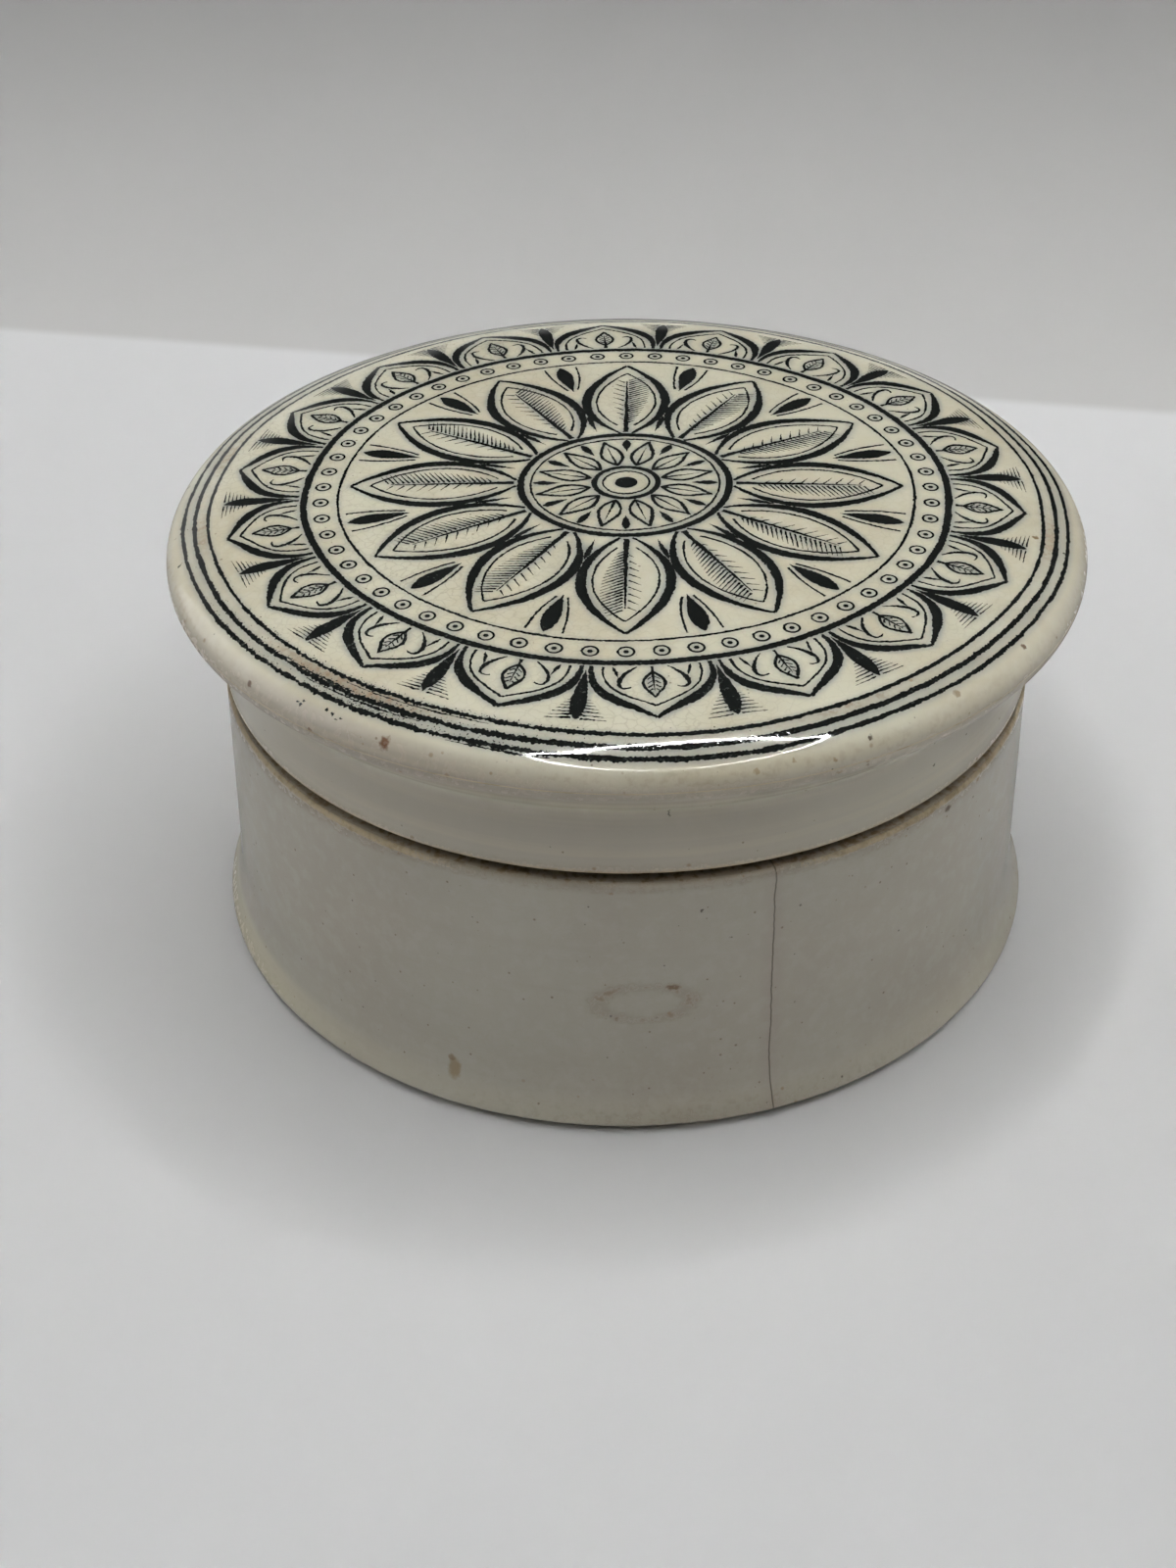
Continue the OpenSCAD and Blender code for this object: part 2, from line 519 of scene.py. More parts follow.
@dataclass(frozen=True)
class GlazedEarthenware:
    """White earthenware, turned, dipped in clear lead glaze and fired.

    To the eye: a milky body under a thin glass skin, so a soft colour with sharp small
    lights; a faint net of hairlines; specks of iron from the clay; brown where dirt has
    crept in, and painted shade, brown to nearly black, where the stain attribute carries
    it; and dull biscuit where the glaze was wiped off.
    """

    name: str
    body: str
    warm: str
    cool: str
    tinge: str
    dirt: str
    craze_cell: float
    craze_show: float
    iron_share: float
    roughness: float
    marks: tuple[Mark, ...] = ()
    blisters: tuple[Blister, ...] = ()
    crack: Union[Hairline, None] = None

    def material(self) -> bpy.types.Material:
        """Make the material. It reads the attributes flow, tinge, stain, bare and craze.

        Returns:
            The new material.
        """
        made, shader = new_material(self.name)
        tree = made.node_tree
        mm = millimetres(tree)
        layer = {n: add(tree, "Attribute", attribute_name=n, out="Fac")
                 for n in ("flow", "tinge", "stain", "bare", "craze")}

        # Broad drifts of tone 18 mm wide, and milky mottling of 1.3 mm in the body.
        tone = add(tree, "Mix",
                   {0: patches(tree, mm, 18.0, 0.38, 0.66), 6: colour(self.body),
                    7: colour(self.warm)}, data_type="RGBA", out=2)
        tone = tinted(tree, tone, self.cool, patches(tree, mm, 1.3, 0.42, 0.7), 0.34)
        tone = tinted(tree, tone, self.tinge, layer["tinge"])
        # Turning lines round the sides: tone that changes with height, every 1.2 mm.
        flat = add(tree, "VectorMath", {0: mm, 1: (0.012, 0.012, 0.85)},
                   operation="MULTIPLY")
        turning = add(tree, "TexNoise", {"Vector": flat, "Scale": 1.0, "Detail": 3.0})
        lines = add(tree, "MapRange", {"Value": turning, "From Min": 0.5, "From Max": 0.75})
        tone = tinted(tree, tone, self.warm, lines, 0.5)
        # Blue-grey haze where the ink's cobalt has flowed into the glaze between lines.
        tone = tinted(tree, tone, "#9a9e9a", layer["flow"], 0.85)

        # The stain's attribute is the place, and blots of 0.6 mm break its edge. On the pot it
        # carries painted shade under the lid as well as stains.
        blot = patches(tree, mm, 0.6, 0.44, 0.68, 5.0)
        broken = add(tree, "Math", {0: blot, 1: 0.68, 2: 0.32}, operation="MULTIPLY_ADD")
        dirt_and_shade = add(tree, "Math", {0: layer["stain"], 1: broken}, operation="MULTIPLY")
        tone = tinted(tree, tone, self.dirt, dirt_and_shade, 0.85)
        # Where the attribute passes 1 it is painted shade, nearly black: the shadow of the gap
        # under the lid, painted on the pot.
        gap_shade = add(tree, "MapRange", {"Value": layer["stain"], "From Min": 1.0,
                                       "From Max": 1.8})
        tone = tinted(tree, tone, "#33281c", gap_shade, 0.7)
        # Brown freckles up to 0.6 mm wide, sparse, wherever some stain lies.
        some = add(tree, "MapRange", {"Value": layer["stain"], "From Min": 0.02,
                                      "From Max": 0.15})
        aside = add(tree, "VectorMath", {0: mm, 1: (7.0, 3.0, 19.0)})
        freckle = add(tree, "Math", {0: specks(tree, aside, 1.2, 0.26, 0.8), 1: some},
                      operation="MULTIPLY")
        tone = tinted(tree, tone, "#8f6c42", freckle, 0.5)

        # Iron specks 0.1 to 0.3 mm wide, as the photographed wall has them.
        iron = specks(tree, mm, 1.15, 0.16, self.iron_share)
        tone = tinted(tree, tone, "#6f5a44", iron, 0.62)
        far = add(tree, "VectorMath", {0: mm, 1: (37.0, 11.0, 5.0)})
        tone = tinted(tree, tone, "#3d3a37", specks(tree, far, 1.5, 0.15, self.iron_share),
                      0.65)

        net = add(tree, "Math",
                  {0: crazing(tree, mm, self.craze_cell, 0.06), 1: layer["craze"]},
                  operation="MULTIPLY")
        tone = tinted(tree, tone, "#a99f84", net, self.craze_show)

        # Each spot's own edge wanders by about 0.2 mm.
        stir = add(tree, "TexNoise", {"Vector": mm, "Scale": 2.6, "Detail": 2.0},
                   out="Color")
        loose = add(tree, "VectorMath", {0: stir, 1: (0.5, 0.5, 0.5), 2: mm},
                    operation="MULTIPLY_ADD")
        centred = add(tree, "VectorMath", {0: loose, 1: (0.25, 0.25, 0.25)},
                      operation="SUBTRACT")
        for mark in self.marks:
            tone = mark.cover(tree, centred, tone)

        height = add(tree, "Math",
                     {0: turning, 1: 0.002, 2: glaze_relief(tree, mm, self.craze_cell)},
                     operation="MULTIPLY_ADD")
        for blister in self.blisters:
            height = blister.raise_up(tree, mm, height)
        if self.crack:
            line, beside = self.crack.line(tree, mm)
            tone = tinted(tree, tone, "#9a8078", beside, 0.16)
            tone = tinted(tree, tone, self.crack.code, line, 0.7)
            height = add(tree, "Math", {0: line, 1: -0.03, 2: height},
                         operation="MULTIPLY_ADD")

        # Where the glaze was wiped off: chalky biscuit with grain of 0.25 mm and dirt.
        grain = add(tree, "TexNoise", {"Vector": mm, "Scale": 4.0, "Detail": 3.0})
        ragged = add(tree, "Math",
                     {0: grain, 1: 0.5, 2: layer["bare"]},
                     operation="MULTIPLY_ADD")
        wiped = add(tree, "MapRange", {"Value": ragged, "From Min": 0.65, "From Max": 0.85})
        tone = tinted(tree, tone, "#cbbd9f", wiped)
        grime = add(tree, "Math", {0: patches(tree, mm, 2.5, 0.45, 0.7), 1: dirt_and_shade},
                    operation="MAXIMUM")
        tone = tinted(tree, tone, "#8a7350", add(
            tree, "Math", {0: wiped, 1: grime}, operation="MULTIPLY"), 0.6)
        rough = add(tree, "Math", {0: wiped, 1: 0.012, 2: height}, operation="MULTIPLY_ADD")
        chalk = add(tree, "Math", {0: grain, 1: wiped}, operation="MULTIPLY")
        height = add(tree, "Math", {0: chalk, 1: 0.03, 2: rough}, operation="MULTIPLY_ADD")

        # Handling has dulled the gloss in patches and on the lid's sides, where the tinge
        # lies; stains and biscuit are matt.
        dull = add(tree, "MapRange",
                   {"Value": patches(tree, mm, 6.0, 0.4, 0.75), "To Min": self.roughness,
                    "To Max": self.roughness + 0.035})
        held = add(tree, "MapRange",
                   {"Value": layer["tinge"], "From Min": 0.1, "From Max": 0.55})
        dull = add(tree, "Mix", {0: held, 2: dull, 3: 0.24})
        dull = add(tree, "Mix", {0: dirt_and_shade, 2: dull, 3: 0.45})
        dull = add(tree, "Mix", {0: wiped, 2: dull, 3: 0.88})
        bump = add(tree, "Bump", {"Height": height, "Distance": MM, "Strength": 1.0})
        connect(shader, {"Base Color": tone, "Roughness": dull, "Normal": bump,
                         "IOR": GLAZE_IOR})
        return made


@dataclass(frozen=True)
class TransferInk:
    """Black ceramic ink, printed from an engraved plate and fused under the glaze.

    To the eye: a green-black that isn't quite even, greyer where the transfer was thin,
    with the glaze's own gloss over it.
    """

    name: str
    full: str
    thin: str
    craze_cell: float
    roughness: float

    def material(self) -> bpy.types.Material:
        """Make the material.

        Returns:
            The new material.
        """
        made, shader = new_material(self.name)
        tree = made.node_tree
        mm = millimetres(tree)
        # Ink thins out in grains of 0.35 mm, more in some parts of the plate.
        grains = patches(tree, mm, 0.35, 0.5, 0.78)
        worn = add(tree, "Math", {0: grains, 1: patches(tree, mm, 11.0, 0.35, 0.7)},
                   operation="MULTIPLY")
        tone = add(tree, "Mix", {0: worn, 6: colour(self.full),
                                 7: colour(self.thin)}, data_type="RGBA", out=2)
        bump = add(tree, "Bump",
                   {"Height": glaze_relief(tree, mm, self.craze_cell), "Distance": MM,
                    "Strength": 1.0})
        connect(shader, {"Base Color": tone, "Roughness": self.roughness, "Normal": bump,
                         "IOR": GLAZE_IOR})
        return made


LID_MARKS = (
    Mark((-17.8, -35.1, 37.9), (0.55, 0.5, 0.85), "#6b4322", 0.9),
    Mark((-18.6, -35.4, 37.2), (0.2, 0.2, 0.2), "#3a2a1c", 0.9),
    Mark((-29.1, -26.7, 37.6), (0.34, 0.34, 0.3), "#5c3d24", 0.9),
    Mark((-23.9, -31.8, 36.8), (0.4, 0.3, 0.2), "#7a5a40", 0.8),
    Mark((-37.1, -10.5, 38.6), (0.22, 0.22, 0.25), "#26241f", 0.9),
    Mark((31.2, -22.7, 38.6), (0.34, 0.3, 0.3), "#6b4a2c", 0.85),
    Mark((25.2, -29.3, 38.6), (0.45, 0.4, 0.4), "#8a6a45", 0.6),
    Mark((18.2, -34.6, 38.2), (0.3, 0.3, 0.3), "#4b3d2c", 0.85),
    Mark((18.1, -35.4, 36.2), (0.25, 0.25, 0.2), "#5f4a34", 0.8),
    Mark((34.2, -7.6, 39.7), (0.35, 0.3, 0.3), "#7c6238", 0.85),
    Mark((24.6, -25.9, 29.5), (0.17, 0.17, 0.17), "#3b352c", 0.8),
    Mark((3.36, -35.9, 32.2), (0.11, 1.2, 0.75), "#4a443c", 0.75),
    Mark((9.6, -38.3, 37.7), (0.32, 0.3, 0.34), "#94713f", 0.5),
    Mark((12.4, -37.3, 38.0), (0.2, 0.3, 0.26), "#94713f", 0.5),
    Mark((15.5, -36.4, 37.4), (0.26, 0.3, 0.26), "#8a6436", 0.6),
    Mark((16.0, -36.4, 36.3), (0.4, 0.3, 0.2), "#94713f", 0.4),
    Mark((-38.6, 3.4, 38.4), (0.3, 0.2, 0.25), "#4b4237", 0.75),
    Mark((-38.2, -5.9, 38.4), (0.25, 0.2, 0.22), "#4b4237", 0.75),
    Mark((-33.9, -18.2, 38.9), (0.2, 0.2, 0.2), "#5c4a34", 0.7),
)
LID_BLISTERS = (
    Blister((3.2, -31.2, 40.05), 0.42, 0.11), Blister((-11.9, -27.4, 40.3), 0.24, 0.05),
    Blister((20.3, 8.8, 40.45), 0.26, 0.05), Blister((-8.2, 19.6, 40.45), 0.22, 0.04),
)
POT_MARKS = (
    Mark((26.4, -24.2, 23.9), (0.55, 0.5, 0.4), "#55412c", 0.85),
    Mark((29.2, -20.6, 24.2), (0.35, 0.35, 0.3), "#7d5a34", 0.8),
    Mark((-14.1, -33.8, 3.7), (0.8, 0.8, 1.5), "#8d7440", 0.6),
    Mark((-14.4, -33.6, 4.8), (0.4, 0.5, 0.5), "#7a5f33", 0.6),
    Mark((3.9, -35.8, 14.7), (0.75, 0.8, 0.4), "#6f4e2c", 0.65),
    Mark((2.6, -35.9, 11.6), (0.25, 0.4, 0.22), "#5a4028", 0.8),
    Mark((-0.6, -36.0, 11.5), (0.4, 0.4, 0.25), "#7a5c3c", 0.6),
    Mark((6.1, -35.3, 22.2), (0.2, 0.2, 0.2), "#3f3a33", 0.85),
    Mark((2.9, -35.7, 17.2), (0.18, 0.18, 0.18), "#3f3a33", 0.85),
    Mark((8.4, -34.9, 19.2), (0.2, 0.2, 0.2), "#4a453d", 0.7),
)

IVORY_GLAZE = GlazedEarthenware(
    "ivory_glazed_earthenware", "#dcd8c1", "#d3cbb1", "#e0ddcc", "#b9b1a2",
    "#8a6640",
    craze_cell=0.9, craze_show=0.45, iron_share=0.42, roughness=0.03, marks=LID_MARKS,
    blisters=LID_BLISTERS)
WHITE_GLAZE = GlazedEarthenware(
    "white_glazed_earthenware", "#b6b1a2", "#b2ab9c", "#bdbaae", "#cdc7ad",
    "#7e6848",
    craze_cell=1.6, craze_show=0.15, iron_share=0.8, roughness=0.19, marks=POT_MARKS,
    crack=Hairline(-70.7, 0.088, 0.26, "#4b4636"))
BLACK_INK = TransferInk("underglaze_black_ink", "#1b1e1c", "#484c48", craze_cell=1.3,
                        roughness=0.035)


# ---------------------------------------------------------------- turned pieces

def drawn_in(points: Array, most: float) -> Array:
    """Out of round as hand turning leaves it.

    The radius shrinks by most times a mix of two, three and seven waves round the
    turn, which stays between 0 and 1, so that nothing grows past the true form.

    Args:
        points: Rows of x, y and z.
        most: Largest shrinkage of the radius in millimetres.

    Returns:
        The moved points.
    """
    a = np.arctan2(points[:, 1], points[:, 0])
    wave = (0.5 + 0.28 * np.cos(2 * a + 0.7) + 0.14 * np.cos(3 * a + 2.1)
            + 0.08 * np.cos(7 * a + 4.0))
    r = np.hypot(points[:, 0], points[:, 1])
    share = 1 - most * wave * np.clip(r / 30, 0, 1) / np.maximum(r, 1)
    return points * np.stack([share, share, np.ones_like(share)], -1)


@dataclass
class Pot:
    """The base: foot ring, flared foot, straight wall, shoulder, neck and inside."""

    finish: GlazedEarthenware = WHITE_GLAZE
    wall_r: float = 35.9
    body_h: float = 25.05
    shoulder_round: float = 0.5
    neck_root: float = 0.3
    neck_lip: float = 0.8
    lip_round: float = 0.4
    flare_top_r: float = 36.495
    flare_h: float = 3.749
    flare_r: float = 12.4
    foot_r: float = 37.896
    foot_edge_h: float = 1.0
    foot_round: float = 0.25
    foot_out_r: float = 36.096
    foot_out_round: float = 0.05
    foot_in_r: float = 32.896
    foot_in_round: float = 0.4
    hollow_r: float = 31.296
    hollow_z: float = 0.8
    hollow_round: float = 0.8
    neck_out_r: float = 33.4
    neck_in_r: float = 31.2
    neck_z: float = 36.657
    floor_z: float = 5.3
    inside_sweep: float = 6.0
    segments: int = 480

    def section(self) -> Array:
        """Half section from under the foot, by the wall and the neck, to the floor.

        Returns:
            Rows of r and z.
        """
        corners = np.array([
            [0, self.hollow_z, 0], [self.hollow_r, self.hollow_z, self.hollow_round],
            [self.foot_in_r, 0, self.foot_in_round],
            [self.foot_out_r, 0, self.foot_out_round],
            [self.foot_r, self.foot_edge_h, self.foot_round],
            [self.flare_top_r, self.flare_h, self.flare_r],
            [self.wall_r, self.body_h, self.shoulder_round],
            [self.neck_out_r, self.body_h, self.neck_root],
            [self.neck_out_r, self.neck_z, self.neck_lip],
            [self.neck_in_r, self.neck_z, self.lip_round],
            [self.neck_in_r, self.floor_z, self.inside_sweep], [0, self.floor_z, 0]])
        line = np.vstack([[0, self.hollow_z], rounded(corners, 9), [0, self.floor_z]])
        wall = (line[:, 0] > 35.2) & (line[:, 1] > 0.1)
        first, last = np.flatnonzero(wall)[[0, -1]]
        return np.vstack([filled_in(line[:first], 4.0), filled_in(line[first:last], 0.5),
                          filled_in(line[last:], 2.2)])

    def reshape(self, points: Array) -> Array:
        """Move true turned points to the handmade form."""
        return drawn_in(points, OUT_OF_ROUND)

    def stain(self, points: Array) -> Array:
        """Where dirt has stained the glaze.

        A brown fringe of stain hangs from the shoulder's edge, thinnest in front; wider at
        the sides, it is also painted shade, standing for the top of the shoulder, which
        lies in the lid's shadow there. An oval line is left on the front wall; a little
        gathers round the foot and along the shoulder's bend; and past 1 it is painted
        shade, nearly black, on the ledge under the skirt, where the gap under the lid
        lies in shadow.

        Args:
            points: Rows of x, y and z.

        Returns:
            Strength for each point, from 0 to 2.
        """
        x, y, z = points.T
        a, r = np.arctan2(y, x), np.hypot(x, y)
        outside = smooth(r, 35.1, 35.5)
        away = smooth(np.abs(np.degrees(a) + 90), 12, 42)
        depth = 0.25 + 0.75 * away + 0.12 * np.sin(5 * a + 1) + 0.08 * np.sin(13 * a)
        # Stain and painted shade: towards the sides the fringe runs deeper and darkens the
        # wall below the shoulder's edge, painted as shade.
        fringe = outside * smooth(z, self.body_h - 0.35 - depth,
                                  self.body_h - 0.2 - 0.7 * depth)
        heavy = 0.46 + 0.16 * np.sin(3 * a + 2.2) + 0.14 * np.sin(17 * a)
        along = (a - np.radians(-87.4)) * self.wall_r
        oval = np.abs(np.hypot(along / 3.75, (z - 13.15) / 1.75) - 1)
        ring = outside * (1 - smooth(oval, 0.05, 0.34)) * 0.86
        foot = (1 - smooth(z, 1.1, 3.2)) * (0.2 + 0.2 * np.sin(4 * a + 0.6))
        foot = outside * (foot + 0.1 * (1 - smooth(z, 4, 9)) * bell(a, -1.6, 0.6))
        bend = outside * smooth(z, 24.1, 24.5) * (1 - smooth(z, 25.0, 25.06))
        bend = bend * (0.4 + 0.55 * away)
        # Painted shade: the ledge under the skirt, in the lid's shadow, is painted dark, past
        # 1 nearly black.
        ledge = (r > 33) * (1 - 0.9 * smooth(r, 34.9, 36.0)) * smooth(z, 24.3, 24.95)
        ledge = ledge * (2.0 - 1.4 * smooth(z, 25.1, 25.6)) * (1 - smooth(z, 25.6, 28.6))
        ledge = ledge * (1 - 0.2 * away)
        return np.clip(np.maximum.reduce([fringe * heavy, ring * (y < 0), foot, ledge,
                                          bend]), 0, 2)

    def layers(self, points: Array) -> dict[str, Array]:
        """What the glaze reads: stain, tinge, craze and flow, and bare biscuit.

        Glaze has pooled yellowish above the foot's edge, most at the left. The clay is
        bare on the foot ring, on the neck's lip and, worn, along the shoulder's corner.

        Args:
            points: Rows of x, y and z.

        Returns:
            Strength for each point, by the attribute's name.
        """
        x, y, z = points.T
        a, r = np.arctan2(y, x), np.hypot(x, y)
        band = smooth(z, 0.9, 1.5) * (1 - smooth(z, 2.4, 4.0)) * (r > 35)
        foot = (1 - smooth(z, 0.3, 0.6)) * (r > 32)
        lip = smooth(z, self.neck_z - 0.25, self.neck_z - 0.02)
        corner = smooth(z, self.body_h - 0.66, self.body_h - 0.4) * smooth(r, 35.45, 35.6)
        corner = corner * (0.28 + 0.32 * smooth(np.abs(np.degrees(a) + 90), 15, 32))
        return {"stain": self.stain(points),
                "tinge": band * (0.15 + 0.75 * bell(a, -2.7, 0.4)),
                "craze": smooth(z, 2.0, 8.0) * 0.6, "flow": np.zeros_like(z),
                "bare": np.maximum.reduce([foot, lip, corner])}

    def build(self) -> bpy.types.Object:
        """Build the pot, dress it and put it in the place of its CAD node.

        Returns:
            The pot's piece.
        """
        piece = turned("pot_body", self.section(), self.segments, self.reshape)
        for name, values in self.layers(vertices(piece)).items():
            put_attribute(piece, name, values)
        piece.data.materials.append(self.finish.material())
        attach(piece, "pot")
        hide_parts("pot")
        return piece


@dataclass
class Lid:
    """The lid: shallow crown, rolled rim, sloping under side, cove, skirt and ceiling."""

    finish: GlazedEarthenware = IVORY_GLAZE
    crown_r: float = 750.0
    crown_c: float = -709.143
    crown_end: float = 32.409
    bend_r: float = 18.0
    bend_c: tuple[float, float] = (31.631, 22.173)
    bend_end: float = 38.082
    edge_slope: float = 21.0
    roll_r: float = 2.6
    roll_c: tuple[float, float] = (37.15, 36.55)
    rim_r: float = 39.75
    rim_under: float = 1.2
    under_z: float = 35.941
    cove_z: float = 32.126
    cove_r: float = 3.0
    skirt_out_r: float = 35.8
    skirt_in_r: float = 33.8
    skirt_z: float = 26.1
    skirt_round: tuple[float, float] = (0.3, 0.16)
    ceiling_z: float = 36.657
    ceiling_round: float = 1.2
    segments: int = 432

    def section(self) -> Array:
        """Half section from the ceiling, by the skirt and the rim, to the crown.

        Returns:
            Rows of r and z.
        """
        bend_from = 90 - self.edge_slope
        crown_from = 90 - np.degrees(np.arcsin(self.crown_end / self.crown_r))
        corners = np.array([
            [0, self.ceiling_z, 0], [self.skirt_in_r, self.ceiling_z, self.ceiling_round],
            [self.skirt_in_r, self.skirt_z, self.skirt_round[0]],
            [self.skirt_out_r, self.skirt_z, self.skirt_round[1]],
            [self.skirt_out_r, self.cove_z, self.cove_r],
            [self.rim_r, self.under_z, self.rim_under], [self.rim_r, self.roll_c[1], 0]])
        side = np.vstack([[0, self.ceiling_z], rounded(corners, 6)])
        low = int(np.argmin(side[:, 1]))
        return np.vstack([
            filled_in(side[:low + 1], 3.0), filled_in(side[low:], 1.1)[1:],
            arc(self.roll_c, self.roll_r, 0, bend_from, 32),
            arc(self.bend_c, self.bend_r, bend_from, crown_from, 36)[1:],
            arc((0, self.crown_c), self.crown_r, crown_from, 90, 80)[1:-1],
            [[0, self.crown_c + self.crown_r]]])

    def on_top(self, flat: Array, lift: Union[float, Array]) -> Array:
        """Points of the lid's top above given places, raised along its normal.

        The height is that of the crown's, the bend's or the roll's circle at this
        radius, and the normal points away from that circle's centre.

        Args:
            flat: Rows of x and y.
            lift: Distance above the glaze, below it if negative.

        Returns:
            Rows of x, y and z on the handmade form.
        """
        r = np.hypot(flat[:, 0], flat[:, 1])
        parts = [r < self.crown_end, r < self.bend_end]
        cr = np.select(parts, [0.0, self.bend_c[0]], self.roll_c[0])
        cz = np.select(parts, [self.crown_c, self.bend_c[1]], self.roll_c[1])
        k = np.select(parts, [self.crown_r, self.bend_r], self.roll_r)
        out = (r - cr) / k
        up = np.sqrt(np.clip(1 - out ** 2, 0, 1))
        share = (r + out * lift) / np.maximum(r, 1e-6)
        return self.reshape(np.stack(
            [flat[:, 0] * share, flat[:, 1] * share, cz + up * (k + lift)], -1))

    def normals(self, flat: Array) -> Array:
        """Unit normals of the top: the cross product of its rises along x and y.

        Args:
            flat: Rows of x and y.

        Returns:
            Rows of x, y and z.
        """
        rises = [self.on_top(flat + step, 0.0) - self.on_top(flat - step, 0.0)
                 for step in (np.array([0.02, 0.0]), np.array([0.0, 0.02]))]
        return unit(np.cross(*rises))

    def reshape(self, points: Array) -> Array:
        """Move true turned points to the handmade form.

        The radius is drawn in, and the top sinks by a few hundredths in one and three
        waves round the turn. The ceiling and the skirt keep their heights.

        Args:
            points: Rows of x, y and z.

        Returns:
            The moved points.
        """
        moved = drawn_in(points, OUT_OF_ROUND)
        a = np.arctan2(points[:, 1], points[:, 0])
        r = np.hypot(points[:, 0], points[:, 1])
        ripple = (0.02 * np.cos(a + 1.0) + 0.02 * np.cos(3 * a + 2.0)) * np.clip(r / 30, 0, 1)
        moved[:, 2] -= smooth(points[:, 2], 37.1, 39.2) * (0.065 + ripple)
        return moved

    def stain(self, points: Array) -> Array:
        """Where the lid's glaze is stained: between the rings, on the rim, at the edge.

        Args:
            points: Rows of x, y and z.

        Returns:
            Strength for each point, from 0 to 1.
        """
        x, y, z = points.T
        a, r = np.degrees(np.arctan2(y, x)), np.hypot(x, y)
        top = z > 38.9
        between = smooth(r, 35.7, 36.1) * (1 - smooth(r, 36.6, 37.0)) * top
        left = bell(a, -130, 9) + 0.7 * bell(a, -118, 7)
        right = 0.9 * bell(a, -12, 5) + 0.6 * bell(a, -62, 10)
        far = 0.8 * bell(np.abs(a), 169, 4) + 0.4 * bell(a, 60, 14)
        rim = smooth(r, 38.4, 39.4) * smooth(z, 35.5, 36.3) * (1 - smooth(z, 37.6, 38.8))
        rim = rim * (0.24 + 0.08 * np.sin(np.radians(a * 4 + 40))
                     + 0.14 * bell(a, -118, 20))
        edge = (1 - smooth(z, self.skirt_z + 0.15, self.skirt_z + 0.9)) * (r > 34)
        edge = edge * (0.3 + 0.14 * np.sin(np.radians(a * 7)))
        return np.clip(np.maximum.reduce([between * (left + right + far), rim, edge]), 0, 1)

    def layers(self, points: Array, haze: Reshape) -> dict[str, Array]:
        """What the glaze reads: stain, tinge, craze, the ink's flow, and bare biscuit.

        The tinge greys the sides, and more the rim at front left and at right. In the cove
        it is weaker, so the cove is painted lighter, as painted light against its shade. The
        crazing shows on top in worn areas. The skirt's edge and the ring that rests on the
        neck are bare.

        Args:
            points: Rows of x, y and z.
            haze: Gives the strength of the ink's haze at rows of x and y.

        Returns:
            Strength for each point, by the attribute's name.
        """
        x, y, z = points.T
        a, r = np.arctan2(y, x), np.hypot(x, y)
        side = (1 - smooth(z, 35.9, 38.5)) * smooth(r, 34, 35)
        # Painted light: the tinge is weaker in the cove, so the cove is painted lighter
        # against its shade.
        side = side * (1 - 0.65 * bell(z, 33.1, 1.0))
        roll = smooth(r, 38.2, 39.2) * smooth(z, 35.5, 36.5) * (1 - smooth(z, 38.3, 39.3))
        roll = roll * (0.72 * bell(a, -2.15, 0.4) + 0.42 * bell(a, 0, 0.6))
        top = smooth(z, 38.8, 39.5)
        worn = 0.6 + 0.4 * np.sin(x / 6.1 + 1.0) * np.sin(y / 7.3 + 0.4)
        edge = (1 - smooth(z, self.skirt_z + 0.03, self.skirt_z + 0.3)) * (r > 33)
        seat = (np.abs(z - self.ceiling_z) < 0.01) * smooth(r, 30.0, 30.8)
        return {"stain": self.stain(points),
                "tinge": np.minimum(side * (0.78 + 0.12 * np.sin(3 * a + 0.5)) + roll, 1),
                "craze": top * worn * (1 - 0.5 * smooth(x, -10, 20)),
                "flow": np.where(z > 38.4, haze(points[:, :2]), 0.0),
                "bare": np.maximum(edge, seat)}

    def build(self, haze: Reshape) -> bpy.types.Object:
        """Build the lid, dress it and put it in the place of its CAD node.

        Args:
            haze: Gives the strength of the ink's haze at rows of x and y.

        Returns:
            The lid's piece.
        """
        piece = turned("lid_body", self.section(), self.segments, self.reshape)
        for name, values in self.layers(vertices(piece), haze).items():
            put_attribute(piece, name, values)
        piece.data.materials.append(self.finish.material())
        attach(piece, "lid")
        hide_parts("lid")
        return piece


# ---------------------------------------------------------------- the print

class Swell(Enum):
    """How an engraved line's width runs from its start to its end."""

    EVEN = "even"
    MIDDLE = "middle"
    TAPER = "taper"
    DART = "dart"


@dataclass
class Stroke:
    """One engraved line: its path on the lid, its width and how the width runs."""

    path: Array
    width: float
    swell: Swell = Swell.EVEN
    closed: bool = False

    def profile(self, t: Array) -> Array:
        """Share of the full width at t, from 0 at the start to 1 at the end.

        Args:
            t: Shares of the length.

        Returns:
            The factor of the width for each.
        """
        if self.swell is Swell.MIDDLE:
            return 0.32 + 0.68 * np.sin(np.pi * t) ** 1.3
        if self.swell is Swell.TAPER:
            return 1 - 0.8 * t
        if self.swell is Swell.DART:
            return np.sin(np.pi * t ** 0.7) ** 1.2 * 0.97 + 0.03
        return np.ones_like(t)


